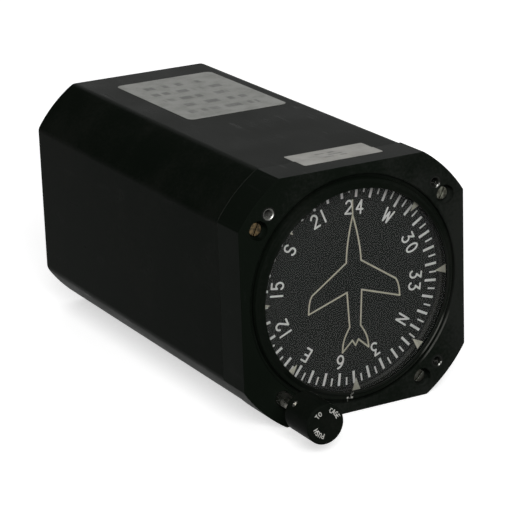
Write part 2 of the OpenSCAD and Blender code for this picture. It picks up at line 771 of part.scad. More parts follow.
// Spoked hub that carries the card's bevel ring
module card_hub() {
    y0 = gyro_y - ring_back + 1;
    y1 = gyro_y - ring_front - 0.4;
    hole_at = (ring_in_r + hub_r) / 2;
    color("#9a9ea1") difference() {
        union() {
            rod_y(y1 - hub_plate_t, y1, ring_in_r - seat);
            rod_y(y0, y1, hub_r);
        }
        rod_y(y0 - 1, y1 + 1, card_shaft_r + seat);
        for (a = [30:60:330]) rod_y(y0 - 1, y1 + 1, hole_at / 2.5, hole_at * cos(a), hole_at * sin(a));
    }
}

// Toothed ring with its cone's tip at the origin and its teeth facing up
module bevel_ring() {
    c = 1 / sqrt(2);
    tip_z = -bevel_r + bevel_add * c;
    root_r = bevel_r - bevel_ded * c;
    root_z = -bevel_r - bevel_ded * c;
    n = 4 * bevel_teeth;
    big = bevel_loop(root_r, root_z, bevel_tip_r, tip_z, 1);
    small = bevel_loop(root_r, root_z, bevel_tip_r, tip_z, bevel_small);
    front = ring_loop(small, ring_in_r, -ring_front);
    shoulder = ring_loop(small, ring_shoulder_r, -ring_front);
    back_out = ring_loop(big, root_r - 0.3, -ring_back);
    back_in = ring_loop(small, ring_in_r, -ring_back);
    loops = 6;
    faces = [for (j = [0:loops - 1]) for (i = [0:n - 1])
        let (a = j * n + i, b = j * n + (i + 1) % n, c = ((j + 1) % loops) * n + i,
            d = ((j + 1) % loops) * n + (i + 1) % n)
        each [[a, b, d], [a, d, c]]];
    polyhedron(concat(front, shoulder, small, big, back_out, back_in),
        [for (f = faces) [f[2], f[1], f[0]]]);
}

// The gimbal's ring has a gap and the card's ring a tooth where they meet
module gimbal_bevel_ring() {
    color("#b08d57") translate([0, gyro_y, 0]) rotate([0, 0, -90 + 180 / bevel_teeth]) bevel_ring();
}

module card_bevel_ring() {
    color("#b08d57") translate([0, gyro_y, 0]) rotate([-90, 0, 0]) rotate([0, 0, 90]) bevel_ring();
}

module idler_gear() {
    color("#b08d57") difference() {
        union() {
            slab(gear_y, gear_y + gear_t) translate([idler_x, idler_z])
                polygon(gear_points(idler_teeth, idler_phase));
            rod_y(plate_y + plate_t + 0.3, bulkhead_y - 0.3, 2.6, idler_x, idler_z);
        }
        rod_y(plate_y, bulkhead_y + 1, stud_out_r + run, idler_x, idler_z);
    }
}

// Vertical gimbal: a ring, two hollow pivots and the flange of its bevel ring
module outer_gimbal() {
    top = arm_high_z + big_bearing_t;
    color("#9a9ea1") translate([0, gyro_y, 0]) difference() {
        union() {
            difference() {
                rod_y(-outer_half, outer_half, outer_out_r);
                rod_y(-outer_half - 1, outer_half + 1, outer_in_r);
            }
            for (s = [0, 180]) rotate([0, 0, s]) difference() {
                rod_x(outer_in_r, tilt_boss_out, tilt_boss_r);
                rod_y(-tilt_boss_r - 1, tilt_boss_r + 1, outer_in_r);
            }
            rod_z(outer_out_r - 1, arm_high_z - 0.4, 5);
            rod_z(outer_out_r - 1, top, pivot_r);
            rod_z(-ring_front, -outer_out_r + 1, neck_r);
            rod_z(-ring_front, -ring_front + flange_t, ring_shoulder_r - 0.4);
            rod_z(-ring_front - register_t, -ring_front + 0.1, ring_in_r - seat);
            rod_z(-low_boss_top - big_bearing_t - 1, -ring_front, pivot_r);
        }
        for (s = [0, 180]) rotate([0, 0, s]) {
            rod_x(outer_in_r - 1, tilt_boss_out + 1, trunnion_r + 0.3);
            rod_x(tilt_boss_out - small_bearing_t - 0.4, tilt_boss_out + 1, small_bearing_r);
        }
        rod_z(outer_in_r - 1, top + 1, tube_bore_r);
        rod_z(outer_in_r - 1, outer_in_r + 1, 2.5 + seat);
        rod_z(-low_boss_top - big_bearing_t - 2, -outer_in_r + 1, pin_r + run);
        rod_z(-plate_top - plate_thick - 0.1, -outer_in_r + 2, plate_r + 0.3);
    }
}

module tilt_bearings() {
    color("#c7c9ca") translate([0, gyro_y, 0]) for (s = [0, 180]) rotate([0, 0, s]) difference() {
        rod_x(tilt_boss_out - small_bearing_t - 0.4, tilt_boss_out - 0.4, small_bearing_r - seat);
        rod_x(0, tilt_boss_out + 1, trunnion_r + run / 2);
    }
}

// Nozzle under the upper pivot, blowing along the rotor's rim
module air_nozzle() {
    z0 = norm([rotor_r, rotor_w / 2]) + 0.7;
    color("#b08d57") translate([0, gyro_y, 0]) difference() {
        rod_z(z0, outer_in_r + 1, 2.5);
        rod_z(z0 + 1.5, outer_in_r + 2, tube_bore_r);
        translate([0, 0, z0 + 1.8]) rotate([0, 125, 0]) cylinder(h = 5, r = 0.5);
    }
}

// Horizontal gimbal: a ring round the rotor, its trunnions, and a strap with the caging flat
module inner_gimbal() {
    color("#a9acae") translate([0, gyro_y, 0]) difference() {
        union() {
            difference() {
                rod_z(-inner_half, inner_half, inner_out_r);
                rod_z(-inner_half - 1, inner_half + 1, inner_in_r);
            }
            for (s = [0, 180]) rotate([0, 0, s]) {
                rod_x(inner_in_r + 1, trunnion_end - 0.6, trunnion_r);
                difference() {
                    rod_y(inner_in_r - 0.2, rotor_boss_out, rotor_boss_r);
                    rod_z(-inner_half - 1, inner_half + 1, inner_in_r);
                }
            }
            difference() {
                union() {
                    rod_x(-strap_half, strap_half, strap_in_r + strap_t);
                    translate([-strap_half, -4, -pad_z]) cube([2 * strap_half, 8, 4]);
                }
                rod_x(-strap_half - 1, strap_half + 1, strap_in_r);
                translate([-strap_half - 1, -pad_z, 0]) cube([2 * strap_half + 2, 2 * pad_z, pad_z]);
            }
        }
        rod_y(-rotor_boss_out - 1, rotor_boss_out + 1, axle_r + 0.3);
        for (s = [0, 180]) rotate([0, 0, s])
            rod_y(rotor_boss_out - small_bearing_t - 0.4, rotor_boss_out + 1, small_bearing_r);
    }
}

module rotor_bearings() {
    color("#c7c9ca") translate([0, gyro_y, 0]) for (s = [0, 180]) rotate([0, 0, s])
        bearing_y(rotor_boss_out - small_bearing_t - 0.4, small_bearing_r, axle_r, small_bearing_t);
}

// Rotor with a heavy rim, a thin web and buckets for the air jet
module rotor() {
    half = rotor_w / 2;
    rim = rotor_r - 5;
    color("#c4a468") translate([0, gyro_y, 0]) difference() {
        turned([[axle_r + seat, -half + 1], [4, -half + 1], [5, -1.5], [rim - 1, -1.5], [rim, -half],
            [rotor_r - 0.6, -half], [rotor_r, -half + 0.6], [rotor_r, half - 0.6], [rotor_r - 0.6, half],
            [rim, half], [rim - 1, 1.5], [5, 1.5], [4, half - 1], [axle_r + seat, half - 1]]);
        for (i = [0:buckets - 1]) rotate([0, 360 * i / buckets, 0])
            translate([0, 0, rotor_r + 0.4]) rotate([0, 60, 0]) rod_y(-2, 2, 1.5);
    }
}

module rotor_axle() {
    color("#c7c9ca") translate([0, gyro_y, 0]) rod_y(-rotor_boss_out + 0.4, rotor_boss_out - 0.4, axle_r);
}

module spring_washer() {
    color("#b9bcbe") difference() {
        rod_y(washer_y, washer_y + washer_t, spring_r + 0.7, -knob_x, -knob_z);
        rod_y(0, plate_y, shaft_d / 2 + run, -knob_x, -knob_z);
    }
}

module knob() {
    r = knob_d / 2;
    screw_y = knob_back - set_screw_in;
    color("#141415") difference() {
        translate([-knob_x, 0, -knob_z]) turned([[0, knob_front], [r - 0.5, knob_front],
            [r, knob_front + 0.5],
            [r, knob_back - 0.4], [r - 0.4, knob_back], [0, knob_back]]);
        rod_y(knob_front + knob_wall, knob_back + 1, shaft_d / 2 + seat, -knob_x, -knob_z);
        translate([-knob_x, screw_y, -knob_z]) rotate([0, -45, 0]) rod_z(0, r + 1, set_screw_r + seat);
    }
}

// Shaft of the knob, with a shoulder clip in front of the washer
module knob_shaft() {
    color("#9fa3a5") difference() {
        union() {
            rod_y(knob_front + knob_wall, shaft_end, shaft_d / 2, -knob_x, -knob_z);
            rod_y(washer_y - 0.5, washer_y, shaft_d / 2 + 0.6, -knob_x, -knob_z);
        }
        translate([-knob_x, knob_back - set_screw_in, -knob_z]) rotate([0, -45, 0])
            translate([-shaft_d, -shaft_d / 2, shaft_d / 2 - shaft_flat])
                cube([2 * shaft_d, shaft_d, shaft_d]);
    }
}

module set_screw() {
    color("#c7c9ca") translate([-knob_x, knob_back - set_screw_in, -knob_z]) rotate([0, -45, 0])
    difference() {
        rod_z(shaft_d / 2 - shaft_flat, knob_d / 2 - free, set_screw_r);
        translate([0, 0, knob_d / 2 - 1.3]) cylinder(h = 2, r = 0.65, $fn = 6);
    }
}

module caging_pinion() {
    color("#b08d57") difference() {
        slab(pinion_y, pinion_y + pinion_t) translate([-knob_x, -knob_z])
            polygon(gear_points(pinion_teeth, pinion_phase));
        rod_y(pinion_y - 1, pinion_y + pinion_t + 1, shaft_d / 2 + seat, -knob_x, -knob_z);
    }
}

module caging_spool() {
    color("#9fa3a5") translate([-knob_x, 0, -knob_z]) difference() {
        union() {
            rod_y(spool_y, spool_y + spool_len, spool_core_r);
            rod_y(spool_y, spool_y + spool_lip, spool_r);
            rod_y(spool_y + spool_len - spool_lip, spool_y + spool_len, spool_r);
        }
        rod_y(spool_y - 1, spool_y + spool_len + 1, shaft_d / 2 + seat);
    }
}

// Flat lever with a post in the spool's groove and a ramp that lifts the pin
module caging_lever() {
    dir = atan2(gyro_y - lever_y, -lever_x);
    post_dir = 180 + asin(travel / 2 / lever_short);
    ramp_half = lever_long * sin(lever_a / 2);
    ramp_end = ramp_half + pin_r + 0.8;
    ramp_w = 7;
    pad_over = 2.5;
    arm_w = 4.5;
    color("#b9bcbe") translate([lever_x, lever_y, -lever_bottom]) difference() {
        union() {
            cylinder(h = lever_t, r = 4);
            rotate([0, 0, post_dir]) {
                translate([0, -arm_w / 2, 0]) cube([lever_short, arm_w, lever_t]);
                translate([lever_short, 0, 0]) cylinder(h = lever_t, r = arm_w / 2);
                translate([lever_short, 0, 0]) cylinder(h = lever_bottom - knob_z + 1.5, r = lever_post_r);
            }
            rotate([0, 0, dir + lever_a / 2]) {
                translate([0, -arm_w / 2, 0]) cube([lever_long - 1, arm_w, lever_t]);
                translate([lever_long + pad_over - ramp_w, -ramp_end, 0])
                    cube([ramp_w, 2 * ramp_end, lever_t]);
                translate([lever_long + pad_over - ramp_w, 0, lever_t])
                    rotate([90, 0, 90]) linear_extrude(ramp_w)
                    polygon([[-ramp_half + pin_r, 0], [ramp_half + pin_r, lift],
                        [ramp_end, lift], [ramp_end, 0]]);
            }
        }
        translate([0, 0, -1]) cylinder(h = lever_t + 2, r = lever_pin_r + run);
    }
}

module caging_pin() {
    color("#c7c9ca") translate([0, gyro_y, 0]) union() {
        rod_z(-pin_tip, -plate_top, pin_r);
        rod_z(-plate_top - plate_thick, -plate_top, plate_r);
    }
}

front_frame();
bezel_ring();
dial_glass();
glass_gasket();
index_markers();
aircraft_symbol();
mounting_inserts();
front_screws();
case_gasket();
case_cover();
shaft_bushing();
shaft_seal();
seal_washer();
frame_posts();
post_screws();
front_plate();
plate_screws();
gyro_frame();
card_bearing_front();
card_bearing_rear();
upper_bearing();
lower_bearing();
idler_stud();
lever_pivot();
air_tube();
inlet_filter();
filter_cap();
return_spring();
compass_card();
card_scale();
card_shaft();
setting_gear();
card_hub();
card_bevel_ring();
idler_gear();
outer_gimbal();
gimbal_bevel_ring();
tilt_bearings();
air_nozzle();
inner_gimbal();
rotor_bearings();
rotor();
rotor_axle();
spring_washer();
knob();
knob_shaft();
set_screw();
caging_pinion();
caging_spool();
caging_lever();
caging_pin();
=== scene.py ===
"""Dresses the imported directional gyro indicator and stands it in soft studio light.

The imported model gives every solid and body. Bevelled copies stand for the solids that show their
edges. The bezel ring, the glass and its gasket are turned about the dial's axis. The scale, the
figures, the index marks, the aeroplane and the knob's letters are painted beads and flats, and the
two foil labels are thin sheets. These are new surfaces worked out with numpy. Lengths in the
classes are in millimetres, and MM turns them into metres.
"""
from __future__ import annotations

import logging
import math
from dataclasses import dataclass, field
from enum import Enum
from typing import Callable, Mapping, Sequence, Union

import bmesh
import bpy
import numpy as np
from mathutils import Matrix, Vector

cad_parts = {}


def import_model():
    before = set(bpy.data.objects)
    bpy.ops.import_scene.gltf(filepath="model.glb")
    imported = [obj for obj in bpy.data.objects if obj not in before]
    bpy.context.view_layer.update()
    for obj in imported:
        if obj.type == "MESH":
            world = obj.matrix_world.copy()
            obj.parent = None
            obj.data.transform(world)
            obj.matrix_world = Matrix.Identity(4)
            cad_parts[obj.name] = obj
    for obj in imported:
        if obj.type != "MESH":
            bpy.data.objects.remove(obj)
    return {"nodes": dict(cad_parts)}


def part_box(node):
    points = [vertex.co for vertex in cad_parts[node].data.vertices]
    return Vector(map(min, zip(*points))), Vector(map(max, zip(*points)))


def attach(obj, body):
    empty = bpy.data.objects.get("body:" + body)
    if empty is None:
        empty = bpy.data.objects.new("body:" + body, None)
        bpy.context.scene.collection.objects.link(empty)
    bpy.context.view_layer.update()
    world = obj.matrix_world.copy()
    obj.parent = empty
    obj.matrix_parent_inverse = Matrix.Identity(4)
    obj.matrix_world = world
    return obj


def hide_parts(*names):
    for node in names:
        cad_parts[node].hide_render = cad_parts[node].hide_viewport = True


MM = 0.001
# Face attribute of edge scuffing on the case and knob and of painted glints on the frame and bezel
# ring.
WEAR_AND_GLINT = "edge_wear_and_glint"
# Points closer than MERGE metres are one. Angles are in degrees: faces that turn by less than FLAT
# are one face, and edges that turn by less than SMOOTH look round.
MERGE = 2e-6
FLAT = 0.4
SMOOTH = 40.0
# Steps round a turned body, and its own smooth angle.
TURN_STEPS = 288
TURN_SMOOTH = 32.0
# A painted bead's points round its section, millimetres between its rows, and share of its height
# that lies below the ground.
BEAD_SIDES = 10
BEAD_STEP = 0.22
BEAD_BELOW = 0.4
Colour = tuple[float, float, float]
Corners = tuple[tuple[float, float], ...]
Nodes = Mapping[str, bpy.types.Object]
Value = Union[float, "Sock"]
Rule = Callable[[np.ndarray], np.ndarray]
log = logging.getLogger("indicator")


class Slot(Enum):
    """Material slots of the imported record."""

    FRAME = "black_frame"
    RING = "black_ring"
    CASE = "black_case"
    KNOB = "black_knob"
    GLASS = "glass"
    RUBBER = "rubber"
    CREAM = "cream_paint"
    WHITE = "white_paint"
    STEEL = "steel"
    SCREW = "screw_steel"


class Lay(Enum):
    """Ways in which a metal was worked, and so how its fine marks run."""

    TURNED = "turned"
    BRUSHED = "brushed"
    CAST = "cast"


class Sock:
    """A value in a material's node tree. Arithmetic on it adds Math nodes."""

    def __init__(self, net: "Net", socket: bpy.types.NodeSocket) -> None:
        """Wraps an output socket of a net."""
        self.net, self.socket = net, socket

    def _math(self, operation: str, first: Value, second: Value) -> "Sock":
        """Adds one Math node of the named operation and returns its result."""
        return self.net.make("Math", {"operation": operation}, {0: first, 1: second})

    def __add__(self, other: Value) -> "Sock":
        """self + other."""
        return self._math("ADD", self, other)

    def __radd__(self, other: Value) -> "Sock":
        """other + self."""
        return self._math("ADD", other, self)

    def __sub__(self, other: Value) -> "Sock":
        """self - other."""
        return self._math("SUBTRACT", self, other)

    def __rsub__(self, other: Value) -> "Sock":
        """other - self."""
        return self._math("SUBTRACT", other, self)

    def __mul__(self, other: Value) -> "Sock":
        """self * other."""
        return self._math("MULTIPLY", self, other)

    def __rmul__(self, other: Value) -> "Sock":
        """other * self."""
        return self._math("MULTIPLY", other, self)

    def __truediv__(self, other: Value) -> "Sock":
        """self / other."""
        return self._math("DIVIDE", self, other)

    def __rtruediv__(self, other: Value) -> "Sock":
        """other / self."""
        return self._math("DIVIDE", other, self)

    def __pow__(self, other: Value) -> "Sock":
        """self to the power of other."""
        return self._math("POWER", self, other)

    def __rpow__(self, other: Value) -> "Sock":
        """other to the power of self."""
        return self._math("POWER", other, self)

    def most(self, other: Value) -> "Sock":
        """The larger of self and other."""
        return self._math("MAXIMUM", self, other)

    def single(self, operation: str) -> "Sock":
        """The result of a Math operation that takes one value."""
        return self.net.make("Math", {"operation": operation}, {0: self})


class Net:
    """The node tree of one material, with the few patterns that the finishes share."""

    def __init__(self, name: str) -> None:
        """Starts an empty material of that name."""
        self.material = bpy.data.materials.new(name)
        self.material.use_nodes = True
        self.tree = self.material.node_tree
        self.tree.nodes.clear()
        self._place: Sock | None = None

    def make(self, kind: str, settings: Mapping[str, object] | None = None,
             inputs: Mapping[int | str, object] | None = None, output: int | str = 0) -> Sock:
        """Adds a node, sets it up and feeds it.

        Args:
            kind: The node's type without its ShaderNode prefix.
            settings: Its properties, set first.
            inputs: Values or Socks by socket name or number.
            output: The output that the result wraps.

        Returns:
            The chosen output as a Sock.
        """
        node = self.tree.nodes.new("ShaderNode" + kind)
        for key, value in (settings or {}).items():
            setattr(node, key, value)
        for key, value in (inputs or {}).items():
            if isinstance(value, Sock):
                self.tree.links.new(value.socket, node.inputs[key])
            else:
                node.inputs[key].default_value = value
        return Sock(self, node.outputs[output])

    def place(self) -> Sock:
        """Object coordinates, in metres."""
        if self._place is None:
            self._place = self.make("TexCoord", output="Object")
        return self._place

    def axis(self, name: str) -> Sock:
        """One coordinate of the place, in millimetres."""
        return self.make("SeparateXYZ", {}, {0: self.place()}, name) * 1000.0

    def moved(self, centre: Colour = (0.0, 0.0, 0.0), scale: Colour = (1.0, 1.0, 1.0),
              turn: Colour = (0.0, 0.0, 0.0)) -> Sock:
        """The place measured from a centre in millimetres, turned and then stretched."""
        offset = self.make("VectorMath", {"operation": "SUBTRACT"},
                           {0: self.place(), 1: tuple(c * MM for c in centre)})
        return self.make("Mapping", {"vector_type": "POINT"},
                         {"Vector": offset, "Rotation": turn, "Scale": scale})

    def length(self, vector: Sock) -> Sock:
        """The length of a vector."""
        return self.make("VectorMath", {"operation": "LENGTH"}, {0: vector}, "Value")

    def noise(self, pitch: float, place: Sock | None = None, detail: float = 2.0,
              rough: float = 0.5) -> Sock:
        """Smooth noise from 0 to 1 whose lumps are about pitch millimetres across."""
        return self.make("TexNoise", {"noise_dimensions": "3D"},
                         {"Vector": place or self.place(), "Scale": 1000.0 / pitch,
                          "Detail": detail, "Roughness": rough})

    def band(self, value: Sock, low: float, high: float) -> Sock:
        """A soft step from 0 at low to 1 at high, as 3 t^2 - 2 t^3."""
        return self.make("MapRange", {"interpolation_type": "SMOOTHSTEP"},
                         {"Value": value, "From Min": low, "From Max": high})

    def hair(self, pitch: float, turn: Colour, width: float = 0.02) -> Sock:
        """Thin straight scratches: the places where stretched noise crosses its middle value."""
        lay = self.moved(scale=(1.0, 0.03, 0.2), turn=turn)
        line = (self.noise(pitch, lay, 0.0) - 0.5).single("ABSOLUTE")
        gaps = self.band(self.noise(pitch * 4.0, detail=0.0), 0.54, 0.66)
        return (1.0 - self.band(line, 0.0, width)) * gaps

    def mix(self, share: Value, first: Sock | Colour, second: Sock | Colour) -> Sock:
        """A colour that goes from first at share 0 to second at share 1."""
        ready = [c if isinstance(c, Sock) else (*c, 1.0) for c in (first, second)]
        return self.make("Mix", {"data_type": "RGBA", "clamp_factor": True},
                         {0: share, 6: ready[0], 7: ready[1]}, 2)

    def worn_and_glinting(self) -> Sock:
        """The share of edge scuffing and painted glint that a softened piece's mesh carries on its
        edges.
        """
        settings = {"attribute_type": "GEOMETRY", "attribute_name": WEAR_AND_GLINT}
        return self.make("Attribute", settings, output="Fac")

    def surface(self, constants: Mapping[str, object], varying: Mapping[str, Sock],
                height: Sock | None = None, depth: float = 0.01) -> None:
        """Ends the tree in a principled shader on the material's surface.

        Args:
            constants: Values set on the shader's own sockets.
            varying: Socks that change over the surface.
            height: A pattern from 0 to 1 that stands proud, or None.
            depth: What a height of 1 means, in millimetres.
        """
        inputs: dict[int | str, object] = dict(constants)
        inputs.update(varying)
        if height is not None:
            inputs["Normal"] = self.make("Bump", {}, {"Strength": 1.0, "Distance": depth * MM,
                                                      "Height": height})
        shader = self.make("BsdfPrincipled", {}, inputs)
        end = self.tree.nodes.new("ShaderNodeOutputMaterial")
        self.tree.links.new(shader.socket, end.inputs["Surface"])


@dataclass(frozen=True)
class Finish:
    """The look of a surface. Each kind paints the node tree of its own material."""

    def paint(self, net: Net) -> None:
        """Builds the finish in an empty material's tree."""
        raise NotImplementedError

    def material(self, name: str) -> bpy.types.Material:
        """Makes the finish as a material of that name."""
        net = Net(name)
        self.paint(net)
        return net.material


@dataclass(frozen=True)
class Lacquer(Finish):
    """Satin black lacquer on cast metal, dusty in its lows and scuffed through to bare metal on its
    edges. On the frame and the bezel ring the bare metal shows only in given sectors, as a painted
    glint, and surfaces inside a given bore radius take a lighter colour as painted light.
    """

    colour: Colour = (0.0040, 0.0058, 0.0040)
    dust: Colour = (0.0084, 0.0098, 0.0078)
    # Bare metal colour: real scuffing on the case and knob, a painted glint on the frame and ring.
    rubbed_and_glint: Colour = (0.50, 0.50, 0.46)
    roughness: float = 0.40
    gloss: float = 0.012
    grain: float = 0.45
    grain_depth: float = 0.006
    # Strength of the bare metal on edges; on the frame and ring, strength of the painted glint.
    wear_and_glint: float = 0.35
    bore: float = 0.0
    # Lighter colour inside the bore radius: painted light on inner walls lit through the glass.
    lit_bore_colour: Colour = (0.068, 0.070, 0.063)
    # Sectors of painted glint round the dial: angle, half width and share.
    glint_sectors: tuple[tuple[float, float, float], ...] = ()
    reach: float = 41.0
    # Share per millimetre along +X by which the base moves towards the dust colour: lighter to the
    # right.
    rise_along_x: float = 0.0

    def paint(self, net: Net) -> None:
        """Paints the finish.

        Where sectors of painted glint round the dial are given as angle, half width and share, the
        bare metal colour on edges within reach of the axis shows in them alone, as a painted glint
        in place of the lamps' highlight. A sector is a soft step of cos(a - angle), which is the
        dot product of the place's direction and the sector's.
        """
        cloud = net.noise(24.0, detail=3.0)
        speck = net.noise(1.1, detail=2.0)
        scratch = net.hair(2.6, (0.3, 0.5, 0.9)).most(net.hair(3.4, (0.7, -0.4, 0.2)))
        # Bare metal on faces that carry the edge attribute; where sectors are given, only in them,
        # as a painted glint.
        wear_and_glint = net.band(net.worn_and_glinting() * (0.55 + speck * 0.9), 0.45, 0.95) * self.wear_and_glint
        if self.glint_sectors:
            x, z = net.axis("X"), net.axis("Z")
            radius = (x * x + z * z) ** 0.5
            share: Value = 0.0
            for angle, half, weight in self.glint_sectors:
                a = math.radians(angle)
                inside = net.band((x * math.cos(a) + z * math.sin(a)) / radius,
                                  math.cos(math.radians(half)), math.cos(math.radians(half * 0.4)))
                share = inside * weight + share
            wear_and_glint = wear_and_glint * share * net.band(radius, self.reach, self.reach - 1.0)
        # Lighter towards +X.
        x_rise = net.axis("X") * self.rise_along_x
        base = net.mix(net.band(cloud + speck * 0.5 + x_rise, 0.62, 1.05), self.colour, self.dust)
        base = net.mix(scratch * 0.25, base, self.dust)
        # Painted light: surfaces inside the bore radius take the lighter wall colour.
        if self.bore > 0:
            radius = net.length(net.moved(scale=(1.0, 0.0, 1.0))) * 1000.0
            inner = net.band(radius, self.bore + 0.05, self.bore - 0.05)
            base = net.mix(inner, base, self.lit_bore_colour)
        base = net.mix(wear_and_glint, base, self.rubbed_and_glint)
        rough = self.roughness + (cloud - 0.5) * 0.22 + (speck - 0.5) * 0.10 - scratch * 0.10
        peel = net.noise(self.grain, detail=1.0) + speck * 0.6
        net.surface({"Specular IOR Level": self.gloss},
                    {"Base Color": base, "Roughness": rough, "Metallic": wear_and_glint * 0.6},
                    peel - scratch * 0.5, self.grain_depth)


@dataclass(frozen=True)
class Metal(Finish):
    """Bare or plated metal with the marks of its working and a little tarnish."""

    colour: Colour = (0.42, 0.42, 0.40)
    tarnish: Colour = (0.20, 0.19, 0.17)
    roughness: float = 0.32
    lay: Lay = Lay.CAST
    centre: Colour = (0.0, 0.0, 0.0)
    pitch: float = 0.25
    depth: float = 0.004
    tarnished: float = 0.6

    def marks(self, net: Net) -> Sock:
        """The pattern of the tool's marks: rings round a centre, straight lines or small pits."""
        if self.lay is Lay.TURNED:
            radius = net.length(net.moved(self.centre, (1.0, 0.15, 1.0)))
            along = net.make("CombineXYZ", {}, {0: radius, 1: 0.0, 2: 0.0})
            return net.noise(self.pitch, along, 1.0)
        if self.lay is Lay.BRUSHED:
            return net.noise(self.pitch, net.moved(scale=(1.0, 0.04, 1.0)), 2.0)
        return net.noise(self.pitch, detail=3.0)

    def paint(self, net: Net) -> None:
        """Paints the finish."""
        marks = self.marks(net)
        stain = net.band(net.noise(5.0, detail=4.0) + (marks - 0.5) * 0.3, 0.42, 0.70)
        base = net.mix(stain * self.tarnished, self.colour, self.tarnish)
        rough = self.roughness + stain * 0.14 + (marks - 0.5) * 0.16
        net.surface({"Metallic": 1.0}, {"Base Color": base, "Roughness": rough},
                    marks, self.depth)


@dataclass(frozen=True)
class ScrewPlating(Finish):
    """Three case screws: bronze at upper left, pale silver at upper right and dark silver at the
    bottom.
    """

    bronze: Colour = (0.105, 0.076, 0.039)
    pale: Colour = (0.125, 0.129, 0.106)
    dark: Colour = (0.050, 0.052, 0.045)
    roughness: float = 0.30

    def paint(self, net: Net) -> None:
        """Paints the finish."""
        left = net.band(net.axis("X"), 2.0, -2.0)
        low = net.band(net.axis("Z"), 2.0, -2.0)
        # Random soiling from noise.
        grime_and_shade = net.band(net.noise(1.2, detail=3.0), 0.38, 0.62)
        base = net.mix(low, net.mix(left, self.pale, self.bronze), self.dark)
        base = net.mix(grime_and_shade * 0.7, base, (0.030, 0.027, 0.020))
        marks = net.noise(0.22, net.moved(scale=(1.0, 1.0, 0.1), turn=(0.0, 0.9, 0.0)), 1.0)
        net.surface({"Metallic": 1.0},
                    {"Base Color": base, "Roughness": self.roughness + grime_and_shade * 0.2},
                    marks, 0.006)


@dataclass(frozen=True)
class InsertFinish(Finish):
    """Steel screw inserts whose flat ends were lacquered over, so that only their bores are bare.
    Each bore shows its steel only towards its lower right, as a painted glint, and a painted shade
    covers the rest.

    The distance from the nearest insert's axis is that of (|x|, |z|) from (centre, centre).
    """

    centre: float = 31.43
    bare_r: float = 1.95
    steel: Colour = (0.50, 0.50, 0.47)
    lacquer: Colour = (0.0050, 0.0060, 0.0048)
    # Colour of the painted shade in the bores: this light grey on the left inserts, the next, near
    # black, on the right.
    grime_and_shade: Colour = (0.110, 0.112, 0.102)
    dark: Colour = (0.012, 0.013, 0.011)

    def paint(self, net: Net) -> None:
        """Paints the finish."""
        places = [net.axis(k) for k in ("X", "Z")]
        offs = [p - p.single("SIGN") * self.centre for p in places]
        radius = (offs[0] * offs[0] + offs[1] * offs[1]) ** 0.5
        speck = net.noise(0.6, detail=3.0)
        bare = net.band(radius + (speck - 0.5) * 0.15, self.bare_r + 0.04, self.bare_r - 0.04)
        # Painted glint: the steel shows only towards the lower right of each bore; painted shade
        # covers the rest.
        slope = offs[0] * 0.7 - offs[1] * 0.7
        right = net.band(places[0], -2.0, 2.0)
        painted_shade = net.band(slope + (speck - 0.5) * 2.2 - right * 0.25, 1.65, 1.15)
        grime_and_shade = net.mix(right, self.grime_and_shade, self.dark)
        base = net.mix(bare, self.lacquer, net.mix(painted_shade, self.steel, grime_and_shade))
        turning = net.noise(0.30, net.moved(scale=(0.1, 1.0, 0.1)), 1.0)
        net.surface({"Specular IOR Level": 0.05},
                    {"Base Color": base, "Metallic": bare * (1.0 - painted_shade),
                     "Roughness": 0.5 - bare * 0.2},
                    turning, 0.02)


@dataclass(frozen=True)
class FlatPaint(Finish):
    """Matt printed or filled paint, a little uneven, with pin-holes."""

    colour: Colour = (0.86, 0.87, 0.84)
    faded: Colour = (0.74, 0.75, 0.71)
    roughness: float = 0.75
    grain: float = 0.25
    depth: float = 0.012

    def paint(self, net: Net) -> None:
        """Paints the finish."""
        patch = net.band(net.noise(3.0, detail=4.0), 0.38, 0.72)
        grain = net.noise(self.grain, detail=2.0)
        base = net.mix(patch * 0.7, self.colour, self.faded)
        rough = self.roughness + (grain - 0.5) * 0.12
        net.surface({"Specular IOR Level": 0.25}, {"Base Color": base, "Roughness": rough},
                    grain, self.depth)


@dataclass(frozen=True)
class ClearPane(Finish):
    """Flat instrument glass with faint smears. Its body colour is nearly black and mostly clear."""

    tint: Colour = (0.012, 0.014, 0.013)
    clarity: float = 0.12
    roughness: float = 0.05

    def paint(self, net: Net) -> None:
        """Paints the finish."""
        lay = net.moved(scale=(1.0, 1.0, 0.45), turn=(0.0, 0.6, 0.0))
        smear = net.band(net.noise(9.0, lay, 3.0), 0.45, 0.75)
        grains = net.band(net.noise(0.35, detail=1.0), 0.70, 0.80)
        base = net.mix(grains * 0.5, self.tint, (0.10, 0.10, 0.095))
        rough = self.roughness + smear * 0.10
        alpha = self.clarity + smear * 0.02 + grains * 0.03
        net.surface({"Specular IOR Level": 0.5},
                    {"Base Color": base, "Roughness": rough, "Alpha": alpha})


@dataclass(frozen=True)
class Elastomer(Finish):
    """Moulded black rubber with a bloom on it."""

    colour: Colour = (0.014, 0.014, 0.013)
    bloom: Colour = (0.032, 0.032, 0.029)

    def paint(self, net: Net) -> None:
        """Paints the finish."""
        bloom = net.band(net.noise(4.0, detail=4.0), 0.42, 0.70)
        grain = net.noise(0.20, detail=2.0)
        net.surface({"Specular IOR Level": 0.3},
                    {"Base Color": net.mix(bloom, self.colour, self.bloom),
                     "Roughness": 0.72 + grain * 0.15}, grain, 0.02)


@dataclass(frozen=True)
class Felt(Finish):
    """Pressed filter felt of crossing fibres."""

    colour: Colour = (0.50, 0.46, 0.36)
    shade: Colour = (0.30, 0.27, 0.21)

    def paint(self, net: Net) -> None:
        """Paints the finish."""
        fibres = [net.noise(0.5, net.moved(scale=(1.0, 1.0, 0.12), turn=(0.0, turn, 0.2)), 1.0)
                  for turn in (0.2, 1.3, 2.3)]
        mat = fibres[0].most(fibres[1]).most(fibres[2])
        net.surface({"Specular IOR Level": 0.1, "Sheen Weight": 0.3},
                    {"Base Color": net.mix(net.band(mat, 0.5, 0.75), self.shade, self.colour),
                     "Roughness": 0.9 + (mat - 0.5) * 0.1}, mat, 0.12)


